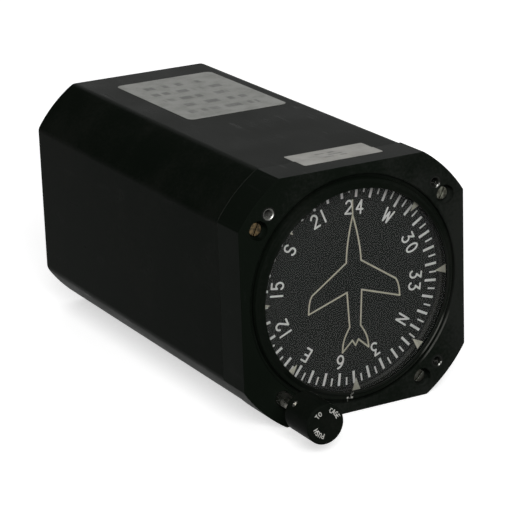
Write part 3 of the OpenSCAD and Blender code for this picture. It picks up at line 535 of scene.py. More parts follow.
@dataclass(frozen=True)
class Foil(Finish):
    """Old grey label foil, mottled and scuffed, with rows of smeared bars and no writing.

    Row number n stands at first + n * pitch along Y. Stretched noise of (x, n) breaks it into bars.
    """

    colour: Colour = (0.212, 0.216, 0.197)
    scuffed: Colour = (0.165, 0.169, 0.152)
    ink: Colour = (0.052, 0.053, 0.048)
    roughness: float = 0.55
    first: float = 92.5
    pitch: float = 9.6
    rows: int = 5
    tall: float = 4.2
    left: float = -11.0
    right: float = 16.0
    shade: float = 0.75

    def paint(self, net: Net) -> None:
        """Paints the finish."""
        x = net.axis("X")
        along = (net.axis("Y") - self.first) / self.pitch
        number = along.single("ROUND")
        off = (along - number).single("ABSOLUTE")
        share = self.tall / self.pitch / 2
        line = net.band(off, share * 1.25, share * 0.6)
        inside = (net.band(number, -0.6, -0.4)
                  * net.band(number, self.rows - 0.4, self.rows - 0.6)
                  * net.band(x, self.left - 1.0, self.left)
                  * net.band(x, self.right + 1.0, self.right))
        row = net.make("CombineXYZ", {}, {0: x * MM, 1: number * 0.037, 2: 0.0})
        words = net.band(net.noise(4.6, row, 1.0), 0.44, 0.54)
        mottle = net.noise(6.0, detail=5.0, rough=0.6)
        fleck = net.noise(0.9, detail=3.0)
        ink = line * inside * words * (0.45 + net.noise(1.3, detail=2.0)) * self.shade
        scratch = net.hair(1.8, (0.0, 0.0, 0.5)).most(net.hair(2.2, (0.0, 0.0, -0.8)))
        scuff = net.band(mottle + (fleck - 0.5) * 0.5, 0.42, 0.68)
        base = net.mix(scuff * 0.8, self.colour, self.scuffed)
        base = net.mix(ink, base, self.ink)
        base = net.mix(scratch * 0.35, base, (0.24, 0.24, 0.22))
        rough = self.roughness + (mottle - 0.5) * 0.25
        net.surface({"Specular IOR Level": 0.3},
                    {"Base Color": base, "Roughness": rough, "Metallic": 0.25 - scuff * 0.15},
                    mottle * 3.0 + fleck * 0.4, 0.03)


@dataclass(frozen=True)
class FloorFinish(Finish):
    """Plain pale floor: white to the eye, duller as a light source for the object."""

    seen: float = 0.80
    shed: float = 0.35
    lift: float = 0.60

    def paint(self, net: Net) -> None:
        """Paints the finish."""
        flags = [net.make("LightPath", {}, {}, key)
                 for key in ("Is Camera Ray", "Is Glossy Ray", "Is Transmission Ray")]
        seen = flags[0].most(flags[1]).most(flags[2])
        base = net.mix(seen, (self.shed,) * 3, (self.seen,) * 3)
        glow = net.mix(seen, (0.0, 0.0, 0.0), (1.0, 1.0, 1.0))
        net.surface({"Roughness": 1.0, "Specular IOR Level": 0.0, "Emission Strength": self.lift},
                    {"Base Color": base, "Emission Color": glow})


def grid_quads(rows: int, cols: int, closed: bool) -> np.ndarray:
    """Faces of a grid of points that are stored row by row.

    Args:
        rows: Number of rows.
        cols: Number of points in a row.
        closed: Whether each row's last point joins its first.

    Returns:
        Quads (i, j), (i + 1, j), (i + 1, j + 1), (i, j + 1) as point numbers.
    """
    i, j = np.meshgrid(np.arange(rows - 1), np.arange(cols if closed else cols - 1), indexing="ij")
    k = (j + 1) % cols
    quads = np.stack([i * cols + j, (i + 1) * cols + j, (i + 1) * cols + k, i * cols + k], -1)
    return quads.reshape(-1, 4)


def new_object(name: str, points: np.ndarray, faces: Sequence[Sequence[int]],
               smooth: float = SMOOTH) -> bpy.types.Object:
    """Puts points and faces into a mesh object whose normals point outwards.

    Args:
        name: The object's name.
        points: Places in millimetres, one row each.
        faces: Point numbers of each face.
        smooth: Edges up to this angle, in degrees, are shaded smooth.

    Returns:
        The object, at the origin.
    """
    mesh = bpy.data.meshes.new(name)
    mesh.from_pydata((points * MM).tolist(), [], [[int(i) for i in f] for f in faces])
    work = bmesh.new()
    work.from_mesh(mesh)
    bmesh.ops.recalc_face_normals(work, faces=work.faces)
    work.to_mesh(mesh)
    work.free()
    return shaded(link(name, mesh), smooth)


def turned(name: str, profile: Sequence[tuple[float, float]], ring: bool = True,
           gap: tuple[float, float] | None = None, rubbed_and_glint: Sequence[int] = ()) -> bpy.types.Object:
    """A body turned about the dial's axis: (r cos t, y, r sin t) for each corner (r, y).

    Args:
        name: The object's name.
        profile: Corners (r, y) in millimetres, each above zero.
        ring: Whether the last corner joins the first. If not, flat ends close the body.
        gap: Middle and width, in degrees, of a cut through a ring.
        rubbed_and_glint: Numbers of the corners after which a face carries the edge attribute,
            which on the bezel ring is painted glint.

    Returns:
        The object.
    """
    steps = TURN_STEPS
    r, y = np.array(profile, float).T[:, :, None]
    middle, width = gap or (0.0, 0.0)
    sweep = np.linspace(width / 2, 360 - width / 2, steps, endpoint=gap is not None)
    t = np.radians(middle + sweep)
    points = np.stack([r * np.cos(t), y + 0 * t, r * np.sin(t)], -1).reshape(-1, 3)
    rows = len(profile)
    faces = (grid_quads(rows + ring, steps, gap is None) % (rows * steps)).tolist()
    strip = np.arange(len(faces)) // (len(faces) // (rows - 1 + ring))
    share = np.isin(strip, rubbed_and_glint).astype(float)
    if not ring:
        faces += [list(range(steps)), list(range((rows - 1) * steps, rows * steps))]
    elif gap:
        faces += [[i * steps for i in range(rows)], [(i + 1) * steps - 1 for i in range(rows)]]
    obj = new_object(name, points, faces, TURN_SMOOTH)
    layer = obj.data.attributes.new(WEAR_AND_GLINT, "FLOAT", "FACE")
    layer.data.foreach_set("value", np.r_[share, np.ones(len(faces) - len(share)) * ring])
    return obj


def link(name: str, data: bpy.types.ID) -> bpy.types.Object:
    """Makes an object of a mesh, lamp or camera and puts it into the scene."""
    obj = bpy.data.objects.new(name, data)
    bpy.context.scene.collection.objects.link(obj)
    return obj


def shaded(obj: bpy.types.Object, smooth: float) -> bpy.types.Object:
    """Shades an object smooth, except at edges over an angle in degrees."""
    mesh = obj.data
    mesh.polygons.foreach_set("use_smooth", np.ones(len(mesh.polygons), bool))
    mesh.set_sharp_from_angle(angle=math.radians(smooth))
    mesh.update()
    return obj


def dress(obj: bpy.types.Object, finish: Finish, name: str) -> None:
    """Puts a finish, under a name, on every material slot of an object."""
    material = bpy.data.materials.get(name) or finish.material(name)
    if not obj.material_slots:
        obj.data.materials.append(material)
    for slot in obj.material_slots:
        slot.material = material


def fit(obj: bpy.types.Object, body: str, slot: Slot, finish: Finish, look: str,
        *replaced: str) -> None:
    """Lets a piece ride on a body, dresses it and hides what it stands for.

    Args:
        obj: The piece.
        body: The CAD body that it moves with.
        slot: The record's slot for its finish. Not used.
        finish: What it is dressed in.
        look: The finish's name.
        replaced: CAD nodes that the piece stands for.
    """
    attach(obj, body)
    if replaced:
        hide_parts(*replaced)
    dress(obj, finish, look)
    log.info("%s rides on %s with %d faces", obj.name, body, len(obj.data.polygons))


def places_of(mesh: bpy.types.Mesh) -> np.ndarray:
    """A mesh's points in millimetres, one row each."""
    points = np.empty(len(mesh.vertices) * 3)
    mesh.vertices.foreach_get("co", points)
    return points.reshape(-1, 3) / MM


@dataclass
class Softening:
    """A copy of a solid with its sharp edges broken, as lacquer and machining leave them.

    The copy's loose triangles are merged. Each pass has a width and a rule: the edges that turn by
    more than `sharp` degrees and that the rule picks get a bevel of that width. The faces of the
    last pass, and the faces whose points the optional face rule all picks, carry the edge attribute
    of scuffing and painted glint.
    """

    node: str
    body: str
    slot: Slot
    passes: tuple[tuple[float, Rule], ...] = ()
    sharp: float = 26.0
    # Picks faces for the edge attribute; on the frame these carry a painted glint.
    worn_and_glinting: Rule | None = None
    segments: int = 2

    def piece(self, nodes: Nodes, finish: Finish,
              look: str) -> bpy.types.Object:
        """Makes the softened copy.

        Args:
            nodes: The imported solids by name.
            finish: What the copy is dressed in.
            look: The finish's name.

        Returns:
            The copy, which rides on its body and replaces the solid.
        """
        name = self.node + "_shaped"
        work = bmesh.new()
        work.from_mesh(nodes[self.node].data)
        bmesh.ops.remove_doubles(work, verts=work.verts, dist=MERGE)
        bmesh.ops.recalc_face_normals(work, faces=work.faces)
        bmesh.ops.dissolve_limit(work, angle_limit=math.radians(FLAT), verts=work.verts,
                                 edges=work.edges, use_dissolve_boundaries=False)
        share = work.faces.layers.float.new(WEAR_AND_GLINT)
        for number, (width, rule) in enumerate(self.passes, 1):
            edges = self._edges(work, rule)
            made = bmesh.ops.bevel(work, geom=edges, offset=width * MM, segments=self.segments,
                                   profile=0.5, affect="EDGES", clamp_overlap=True,
                                   offset_type="OFFSET")
            for face in made["faces"]:
                face[share] = float(number == len(self.passes))
        if self.worn_and_glinting is not None:
            work.verts.index_update()
            hits = self.worn_and_glinting(np.array([v.co for v in work.verts]) / MM)
            for face in work.faces:
                if all(hits[v.index] for v in face.verts):
                    face[share] = 1.0
        mesh = bpy.data.meshes.new(name)
        work.to_mesh(mesh)
        work.free()
        obj = shaded(link(name, mesh), SMOOTH)
        weigh = obj.modifiers.new("flat faces", "WEIGHTED_NORMAL")
        weigh.keep_sharp = True
        weigh.weight = 60
        fit(obj, self.body, self.slot, finish, look, self.node)
        return obj

    def _edges(self, work: bmesh.types.BMesh, rule: Rule) -> list[bmesh.types.BMEdge]:
        """The edges that turn sharply outwards and that the rule picks."""
        turns = [e for e in work.edges
                 if len(e.link_faces) == 2 and e.is_convex
                 and e.calc_face_angle(0.0) > math.radians(self.sharp)]
        if not turns:
            return turns
        middles = np.array([(e.verts[0].co + e.verts[1].co) / 2 for e in turns]) / MM
        return [e for e, hit in zip(turns, rule(middles)) if hit]


def radius_from(points: np.ndarray, x: float = 0.0, z: float = 0.0) -> np.ndarray:
    """Distances from a line along Y: the root of (px - x)^2 + (pz - z)^2."""
    return np.hypot(points[:, 0] - x, points[:, 2] - z)


def outline_of(node: bpy.types.Object, slack: float = 0.25) -> Rule:
    """A rule that picks what lies on the outline of a solid with a square, rounded-off section."""
    points = places_of(node.data)
    half, reach = np.abs(points[:, 0]).max(), radius_from(points).max()

    def rule(p: np.ndarray) -> np.ndarray:
        """Whether places lie near the widest or the farthest part of the section."""
        sides = np.maximum(np.abs(p[:, 0]), np.abs(p[:, 2]))
        return (sides > half - slack) | (radius_from(p) > reach - slack)

    return rule


@dataclass
class Housing:
    """Front frame, bezel ring, case, screws and the fittings in the case's rear wall."""

    nodes: Nodes
    groove_r: float = 39.1
    groove_w: float = 0.45
    # Frame and bezel ring: the edge colour shows only in the sectors given, as painted glints near
    # -36 degrees, and on the ring's bare cut ends at its split as a painted glint. The lighter
    # colours inside their bores are painted light on inner walls.
    lacquer: Lacquer = Lacquer(
        gloss=0.007, bore=37.0, wear_and_glint=1.0, glint_sectors=((-36.0, 16.0, 0.10),),
        colour=(0.0046, 0.0066, 0.0046), dust=(0.0150, 0.0165, 0.0145), rise_along_x=0.0045)
    ring_lacquer: Lacquer = Lacquer(
        roughness=0.34, gloss=0.012, grain=0.3, grain_depth=0.004, wear_and_glint=1.0, bore=34.79,
        lit_bore_colour=(0.022, 0.023, 0.020),
        glint_sectors=((-36.0, 14.0, 0.16), (-40.0, 40.0, 0.012), (-95.2, 2.2, 0.9)))
    case_lacquer: Lacquer = Lacquer(roughness=0.36, gloss=0.0045, wear_and_glint=0.02)
    ring_profile: Corners = (
        (34.80, -1.405), (34.72, -1.72), (34.80, -1.88), (35.00, -1.90), (35.20, -1.80),
        (35.60, -1.40), (36.10, -0.62), (36.30, -0.46), (36.75, -0.46), (37.38, -0.43),
        (37.56, -0.24), (37.60, 0.10), (37.88, 0.50), (37.88, 1.60), (39.28, 1.60), (39.28, 2.28),
        (37.36, 2.28), (37.36, 0.15), (36.05, 0.15), (36.05, -0.35), (35.35, -0.35),
        (35.35, -1.405))
    # The ring profile's face from radius 36.75 to 37.38 mm, which carries the painted glint.
    ring_glint_strips: tuple[int, ...] = (8,)
    split: tuple[float, float] = (-95.2, 1.8)
    frame_edge: float = 0.25
    case_edge: float = 1.3
    seam_edge: float = 0.2
    head_edge: float = 0.38
    insert_edge: float = 0.08
    cap_edge: float = 0.1
    head_front: float = 2.5
    head_under: float = 3.2
    head_thin: float = 0.65
    head_slim: float = 0.93

    def frame_glint_faces(self, p: np.ndarray) -> np.ndarray:
        """Places on the bevel between the front face and the ring's groove, which carries a painted
        glint.
        """
        r = radius_from(p)
        return (r > self.groove_r - 0.05) & (r < self.groove_r + self.groove_w) & (p[:, 1] < 0.5)

    def sink(self, heads: bpy.types.Object) -> None:
        """Sets the screw heads deeper in their counterbores and makes them narrower.

        With the head's underside at y = s, y becomes s - (s - y) thin. Sideways, the distance from
        the screw's axis shrinks by the factor slim.

        Args:
            heads: The three case screws in one object.
        """
        points, slim = places_of(heads.data), self.head_slim
        front = points[:, 1] < self.head_under - 0.01
        for right, upper in ((False, True), (True, True), (True, False)):
            mine = ((points[:, 0] > 0) == right) & ((points[:, 2] > 0) == upper) & front
            middle = (points[mine].min(axis=0) + points[mine].max(axis=0)) / 2
            points[mine] = middle + (points[mine] - middle) * (slim, 1.0, slim)
        points[front, 1] = self.head_under - (self.head_under - points[front, 1]) * self.head_thin
        heads.data.vertices.foreach_set("co", (points * MM).ravel())
        heads.data.update()

    def build(self) -> None:
        """Makes the softened copies and the ring, and dresses the seam and the filter."""
        frame, outline = outline_of(self.nodes["front_frame"]), outline_of(self.nodes["case_cover"])
        seam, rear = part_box("case_cover")[0].y / MM + 0.3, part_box("filter_cap")[1].y / MM
        Softening("front_frame", "case", Slot.FRAME, ((self.frame_edge, frame),),
                  worn_and_glinting=self.frame_glint_faces).piece(self.nodes, self.lacquer, "frame lacquer")
        Softening("case_cover", "case", Slot.CASE,
                  ((self.case_edge, lambda p: outline(p) & (p[:, 1] > seam)),
                   (self.seam_edge, lambda p: outline(p) & (p[:, 1] < seam))),
                  segments=3).piece(self.nodes, self.case_lacquer, "case lacquer")
        ring = turned("bezel_ring_turned", self.ring_profile, gap=self.split,
                      rubbed_and_glint=self.ring_glint_strips)
        fit(ring, "case", Slot.RING, self.ring_lacquer, "ring lacquer", "bezel_ring")
        screws = Softening("front_screws", "case", Slot.SCREW,
                           ((self.head_edge, lambda p: p[:, 1] < self.head_front),))
        self.sink(screws.piece(self.nodes, ScrewPlating(), "screw plating"))
        inserts = Softening("mounting_inserts", "case", Slot.STEEL,
                            ((self.insert_edge, lambda p: p[:, 1] < 0.5),))
        inserts.piece(self.nodes, InsertFinish(), "insert finish")
        cap = Softening("filter_cap", "case", Slot.CASE,
                        ((self.cap_edge, lambda p: p[:, 1] > rear - 0.5),))
        cap.piece(self.nodes, self.case_lacquer, "case lacquer")
        dress(self.nodes["case_gasket"], Elastomer(), "seam rubber")
        dress(self.nodes["inlet_filter"], Felt(), "filter felt")


def line(*points: tuple[float, float]) -> np.ndarray:
    """A straight or bent pen stroke through points, in cap heights."""
    return np.array(points, float)


def arc(cx: float, cy: float, rx: float, ry: float, start: float, end: float) -> np.ndarray:
    """A curved pen stroke: (cx + rx cos t, cy + ry sin t) for t from start to end, in degrees."""
    t = np.radians(np.linspace(start, end, 33))
    return np.stack([cx + rx * np.cos(t), cy + ry * np.sin(t)], -1)


def joined(*parts: np.ndarray) -> np.ndarray:
    """Pen strokes that run on into each other, as one."""
    return np.concatenate(parts)


def smoothed(corners: Sequence[tuple[float, float]], rounds: int = 3) -> np.ndarray:
    """A path cut again and again at a quarter and three quarters of each of its sides."""
    path = np.array(corners, float)
    for _ in range(rounds):
        cut = np.stack([path[:-1] * 0.75 + path[1:] * 0.25, path[:-1] * 0.25 + path[1:] * 0.75], 1)
        path = np.concatenate([path[:1], cut.reshape(-1, 2), path[-1:]])
    return path


WIDTHS = {"1": 0.2}
STROKES: dict[str, list[np.ndarray]] = {
    "0": [arc(0.28, 0.5, 0.28, 0.5, 90, 450)],
    "1": [line((0.1, 0), (0.1, 1))],
    "2": [joined(arc(0.28, 0.72, 0.28, 0.28, 165, -30), line((0.0, 0.0))), line((0, 0), (0.56, 0))],
    "3": [line((0.04, 1), (0.52, 1)), line((0.52, 1), (0.24, 0.59)),
          arc(0.25, 0.3, 0.3, 0.3, 95, -150)],
    "4": [line((0.42, 0), (0.42, 1)), line((0.42, 1), (0, 0.32)), line((0, 0.32), (0.6, 0.32))],
    "5": [line((0.5, 1), (0.06, 1)), line((0.06, 1), (0.038, 0.509)),
          arc(0.26, 0.31, 0.29, 0.31, 140, -150)],
    "6": [arc(0.56, 0.31, 0.56, 0.69, 100, 180), arc(0.28, 0.31, 0.28, 0.31, 180, 540)],
    "N": [line((0, 0), (0, 1)), line((0, 1), (0.6, 0)), line((0.6, 0), (0.6, 1))],
    "E": [line((0.5, 1), (0, 1)), line((0, 1), (0, 0)), line((0, 0), (0.5, 0)),
          line((0, 0.52), (0.42, 0.52))],
    "S": [joined(arc(0.28, 0.745, 0.27, 0.255, 30, 270), arc(0.28, 0.25, 0.29, 0.25, 90, -150))],
    "W": [line((0, 1), (0.2, 0)), line((0.2, 0), (0.4, 0.8)), line((0.4, 0.8), (0.6, 0)),
          line((0.6, 0), (0.8, 1))],
    "P": [line((0, 0), (0, 1)), joined(line((0, 1), (0.3, 1)), arc(0.3, 0.74, 0.26, 0.26, 90, -90),
                                       line((0, 0.48)))],
    "U": [joined(line((0, 1)), arc(0.28, 0.28, 0.28, 0.28, 180, 360), line((0.56, 1)))],
    "H": [line((0, 0), (0, 1)), line((0.56, 0), (0.56, 1)), line((0, 0.5), (0.56, 0.5))],
    "T": [line((0, 1), (0.6, 1)), line((0.3, 1), (0.3, 0))],
    "O": [arc(0.32, 0.5, 0.32, 0.5, 90, 450)],
    "C": [arc(0.31, 0.5, 0.31, 0.5, 50, 310)],
    "A": [line((0, 0), (0.3, 1)), line((0.3, 1), (0.6, 0)), line((0.11, 0.36), (0.49, 0.36))],
    "G": [arc(0.31, 0.5, 0.31, 0.5, 50, 350), line((0.62, 0.45), (0.36, 0.45))],
}


def around(angle: float, corners: Sequence[Sequence[float]] | np.ndarray) -> np.ndarray:
    """Turns corners (outwards o, sideways s) to an angle: o (cos a, sin a) + s (-sin a, cos a).

    Args:
        angle: The angle from +X towards +Z, in degrees.
        corners: The corners, one row each.

    Returns:
        Points (x, z), one row each.
    """
    a = math.radians(angle)
    return np.array(corners) @ np.array([[math.cos(a), math.sin(a)], [-math.sin(a), math.cos(a)]])


def bead(path: np.ndarray, width: float, height: float) -> tuple[np.ndarray, list[list[int]]]:
    """A closed bead of paint along a flat path, with round ends.

    At a distance d from an end the bead is f(d) = sqrt(1 - (1 - 2 d / width)^2) of its full size
    until d reaches half the width. Its section is half an ellipse over a shallower one.

    Args:
        path: Points (u, v) in millimetres.
        width: The bead's full width.
        height: How far its crown stands above the path's plane.

    Returns:
        Points (u, v, height) and faces.
    """
    steps = np.linalg.norm(np.diff(path, axis=0), axis=1)
    path = path[np.r_[True, steps > 1e-6]]
    length = np.r_[0.0, np.cumsum(np.linalg.norm(np.diff(path, axis=0), axis=1))]
    half = width / 2
    cap = half * (1 - np.cos(np.linspace(0.12, math.pi / 2, 5)))
    body = np.linspace(half, length[-1] + half, max(int(length[-1] / BEAD_STEP), 2) + 1)[1:-1]
    s = np.r_[cap, body, length[-1] + 2 * half - cap[::-1]] - half
    end = np.minimum(s + half, length[-1] + half - s)
    full = np.sqrt(np.clip(1 - np.clip(1 - end / half, 0, 1) ** 2, 0, 1))
    inside = np.clip(s, 0, length[-1])
    centre = np.stack([np.interp(inside, length, path[:, k]) for k in (0, 1)], -1)
    ahead = [np.interp(np.clip(inside + 0.02, 0, length[-1]), length, path[:, k])
             - np.interp(np.clip(inside - 0.02, 0, length[-1]), length, path[:, k]) for k in (0, 1)]
    along = np.stack(ahead, -1)
    along /= np.linalg.norm(along, axis=1, keepdims=True)
    centre = centre + along * (s - inside)[:, None]
    across = np.stack([-along[:, 1], along[:, 0]], -1)
    turn = np.linspace(0, 2 * math.pi, BEAD_SIDES, endpoint=False)
    rise = np.where(np.sin(turn) > 0, np.sin(turn), BEAD_BELOW * np.sin(turn)) * height
    side = half * full[:, None] * np.cos(turn)
    flat = centre[:, None, :] + across[:, None, :] * side[..., None]
    points = np.concatenate([flat, (full[:, None] * rise)[..., None]], -1).reshape(-1, 3)
    rows, cols = len(s), len(turn)
    faces = grid_quads(rows, cols, True).tolist()
    faces += [list(range(cols))[::-1], list(range((rows - 1) * cols, rows * cols))]
    return points, faces


@dataclass(frozen=True)
class Inscription:
    """A short word or number on a round face, with its top outwards.

    angle is where its middle stands, counted from +X towards +Z, and radius is that of the middle
    of its letters. A bent word follows the circle clockwise, and a straight one keeps one line.
    """

    text: str
    angle: float
    radius: float
    cap: float
    gap: float
    bent: bool = False
    wide: float = 1.0

    def strokes(self) -> list[np.ndarray]:
        """Every pen stroke in place, as points (x, z) in millimetres from the face's centre."""
        widths = [self.wide * WIDTHS.get(c, max(float(s[:, 0].max()) for s in STROKES[c]))
                  for c in self.text]
        starts = np.r_[0.0, np.cumsum(np.array(widths) + self.gap)[:-1]]
        total = starts[-1] + widths[-1]
        out: list[np.ndarray] = []
        for letter, start, width in zip(self.text, starts, widths):
            middle = (start + width / 2 - total / 2) * self.cap
            turn, ahead = 0.0, middle
            if self.bent:
                turn, ahead = -math.degrees(middle / self.radius), 0.0
            for stroke in STROKES[letter]:
                u = (stroke[:, 0] * self.wide - width / 2) * self.cap + ahead
                v = (stroke[:, 1] - 0.5) * self.cap + self.radius
                out.append(around(self.angle + turn, np.stack([v, -u], -1)))
        return out


def lettering(name: str, strokes: Sequence[np.ndarray], width: float, centre: tuple[float, float],
              face_y: float, height: float) -> bpy.types.Object:
    """One object of painted beads on a flat face that looks towards -Y.

    Args:
        name: The object's name.
        strokes: Pen strokes as points (x, z) in millimetres from the centre.
        width: The beads' width.
        centre: The face's centre (x, z) in millimetres.
        face_y: The face's place along Y in millimetres.
        height: How far the beads stand out towards -Y, or towards +Y if it is negative.

    Returns:
        The object.
    """
    points: list[np.ndarray] = []
    faces: list[list[int]] = []
    count = 0
    for stroke in strokes:
        p, f = bead(stroke, width, height)
        points.append(np.stack([p[:, 0] + centre[0], face_y - p[:, 2], p[:, 1] + centre[1]], -1))
        faces += [[i + count for i in face] for face in f]
        count += len(p)
    return new_object(name, np.concatenate(points), faces, 60.0)


def painted_marks(name: str, outlines: Sequence[np.ndarray], low: float, high: float,
                  inset: float = 0.05) -> bpy.types.Object:
    """Flat painted marks of convex outline, whose far face is drawn in by a little all round.

    A corner c of an outline with middle m becomes m + (c - m) (1 - inset / |c - m|) on the far
    face.

    Args:
        name: The object's name.
        outlines: Corners (x, z) of each mark in millimetres.
        low: Place along Y of the face that lies on the ground.
        high: Place along Y of the far face.
        inset: How far the far face's corners are drawn in.

    Returns:
        The object.
    """
    points: list[np.ndarray] = []
    faces: list[list[int]] = []
    for outline in outlines:
        middle = outline.mean(axis=0)
        reach = np.linalg.norm(outline - middle, axis=1, keepdims=True)
        crown = middle + (outline - middle) * (1 - inset / reach)
        count, start = len(outline), sum(len(p) for p in points)
        for ring, y in ((outline, low), (crown, high)):
            points.append(np.stack([ring[:, 0], np.full(count, y), ring[:, 1]], -1))
        faces += (grid_quads(2, count, True) + start).tolist()
        faces += [list(range(start, start + count))[::-1],
                  list(range(start + count, start + 2 * count))]
    return new_object(name, np.concatenate(points), faces, 30.0)


@dataclass(frozen=True)
class Aeroplane:
    """Plan view of an aeroplane in one painted line, nose up.

    The nose is x = shoulder (1 - t^1.6), with t from 0 at the wing's root to 1 at the tip.
    """

    nose: float = 25.6
    spike: float = 30.7
    root: tuple[float, float] = (2.8, 9.8)
    wing_tip: Corners = ((15.95, 1.0), (16.7, -0.25), (17.2, -2.3), (17.45, -5.2))
    waist: Corners = ((2.8, -0.4), (2.1, -12.6))
    fin: Corners = ((2.1, -12.6), (3.3, -14.5), (4.3, -16.5), (4.85, -18.6), (5.05, -20.9))
    tail: Corners = ((5.05, -20.9), (1.15, -17.35), (0.0, -19.3))

    def strokes(self, centre: tuple[float, float]) -> list[np.ndarray]:
        """Every pen stroke about a centre, as points (x, z) in millimetres."""
        t = np.linspace(0.0, 1.0, 25)
        side = np.stack([self.root[0] * (1 - t**1.6),
                         self.root[1] + (self.nose - self.root[1]) * t], -1)
        half = [side, line(self.root, self.wing_tip[0]), smoothed(self.wing_tip),
                line(self.wing_tip[-1], self.waist[0]), line(*self.waist), smoothed(self.fin),
                line(*self.tail[:2]), line(*self.tail[1:])]
        both = half + [stroke * (-1.0, 1.0) for stroke in half]
        both.append(line((0.0, self.nose), (0.0, self.spike)))
        return [stroke + np.array(centre) for stroke in both]


@dataclass
class Dial:
    """Compass card with its scale and figures, and the glass with the marks painted behind it."""

    nodes: Nodes
    heading: float = 232.7
    scale_r: float = 34.6
    tens: tuple[float, float] = (4.4, 0.86)
    fives: tuple[float, float] = (2.75, 0.54)
    figure_r: float = 26.55
    figure_cap: float = 4.35
    figure_stroke: float = 0.66
    figure_gap: float = 0.45
    figure_wide: float = 0.90
    print_shift: tuple[float, float] = (-0.2, 0.30)
    index_r: tuple[float, float] = (31.4, 35.7)
    index_w: float = 3.1
    index_shift: tuple[float, float] = (-0.45, 0.8)
    line_w: float = 0.57
    symbol_shift: tuple[float, float] = (-0.35, 0.05)
    print_h: float = 0.09
    card: Lacquer = Lacquer(colour=(0.0186, 0.0202, 0.0183), dust=(0.0225, 0.0238, 0.0212),
                            roughness=0.62, gloss=0.05, grain=0.25, grain_depth=0.006)
    # The gasket's inner face, inside radius 35.7 mm, takes a lighter colour as painted light.
    rubber: Lacquer = Lacquer(colour=(0.003, 0.004, 0.003), dust=(0.004, 0.005, 0.004),
                              roughness=0.7, gloss=0.01, grain=0.2, wear_and_glint=0.0, bore=35.7,
                              lit_bore_colour=(0.017, 0.018, 0.0155))
    pane: Corners = ((30.0, -1.4), (35.2, -1.4), (35.3, -1.3), (35.3, -0.3), (36.0, -0.3))
    gasket: Corners = ((36.2, 0.75), (35.45, 0.8), (35.45, 2.38), (37.28, 2.38))
    cream: FlatPaint = FlatPaint((0.60, 0.595, 0.49), (0.50, 0.49, 0.39))
    line_cream: FlatPaint = FlatPaint((0.58, 0.56, 0.44), (0.47, 0.45, 0.34))
    names: tuple[str, ...] = ("N", "3", "6", "E", "12", "15", "S", "21", "24", "W", "30", "33")

    def bars(self) -> list[np.ndarray]:
        """Corners of the scale's 72 bars: each runs inwards from scale_r along its own angle."""
        out: list[np.ndarray] = []
        for i in range(72):
            length, width = self.fives if i % 2 else self.tens
            near, far, half = self.scale_r - length, self.scale_r, width / 2
            out.append(around(90 + self.heading - 5 * i,
                              [(near, -half), (far, -half), (far, half), (near, half)]))
        return out

    def indices(self) -> list[np.ndarray]:
        """Corners of the seven triangles that point inwards, every 45 degrees but at the top."""
        (tip, base), half = self.index_r, self.index_w / 2
        return [around(a, [(tip, 0.0), (base, -half), (base, half)]) + self.index_shift
                for a in range(135, 406, 45)]

    def build(self) -> None:
        """Adds the scale, figures, index marks, aeroplane, glass and gasket to the dressed card."""
        card_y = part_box("compass_card")[0].y / MM
        words = [Inscription(text, 90 + self.heading - 30 * i, self.figure_r, self.figure_cap,
                             self.figure_gap, wide=self.figure_wide)
                 for i, text in enumerate(self.names)]
        figures = lettering("card_figures", [s for word in words for s in word.strokes()],
                            self.figure_stroke, self.print_shift, card_y, self.print_h)
        fit(figures, "card", Slot.WHITE, FlatPaint(), "figure paint")
        scale = painted_marks("scale_bars", self.bars(), card_y, card_y - self.print_h)
        fit(scale, "card", Slot.WHITE, FlatPaint(), "figure paint", "card_scale")
        dress(self.nodes["compass_card"], self.card, "card paint")
        near, far = (v.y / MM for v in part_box("index_markers"))
        marks = painted_marks("index_marks", self.indices(), near, far)
        fit(marks, "case", Slot.CREAM, self.cream, "marker paint", "index_markers")
        height = (far - near) / 1.5
        plane = lettering("aeroplane_line", Aeroplane().strokes(self.symbol_shift), self.line_w,
                          (0.0, 0.0), far - height, -height)
        fit(plane, "case", Slot.CREAM, self.line_cream, "symbol paint", "aircraft_symbol")
        back = [(r, near) for r, _ in (self.pane[-1], self.pane[0])]
        glass = turned("dial_pane", (*self.pane, *back), ring=False)
        fit(glass, "case", Slot.GLASS, ClearPane(), "dial glass", "dial_glass")
        gasket = turned("gasket_ring",
                        ((self.gasket[0][0], far), *self.gasket, (self.gasket[-1][0], far)))
        fit(gasket, "case", Slot.RUBBER, self.rubber, "gasket rubber", "glass_gasket")


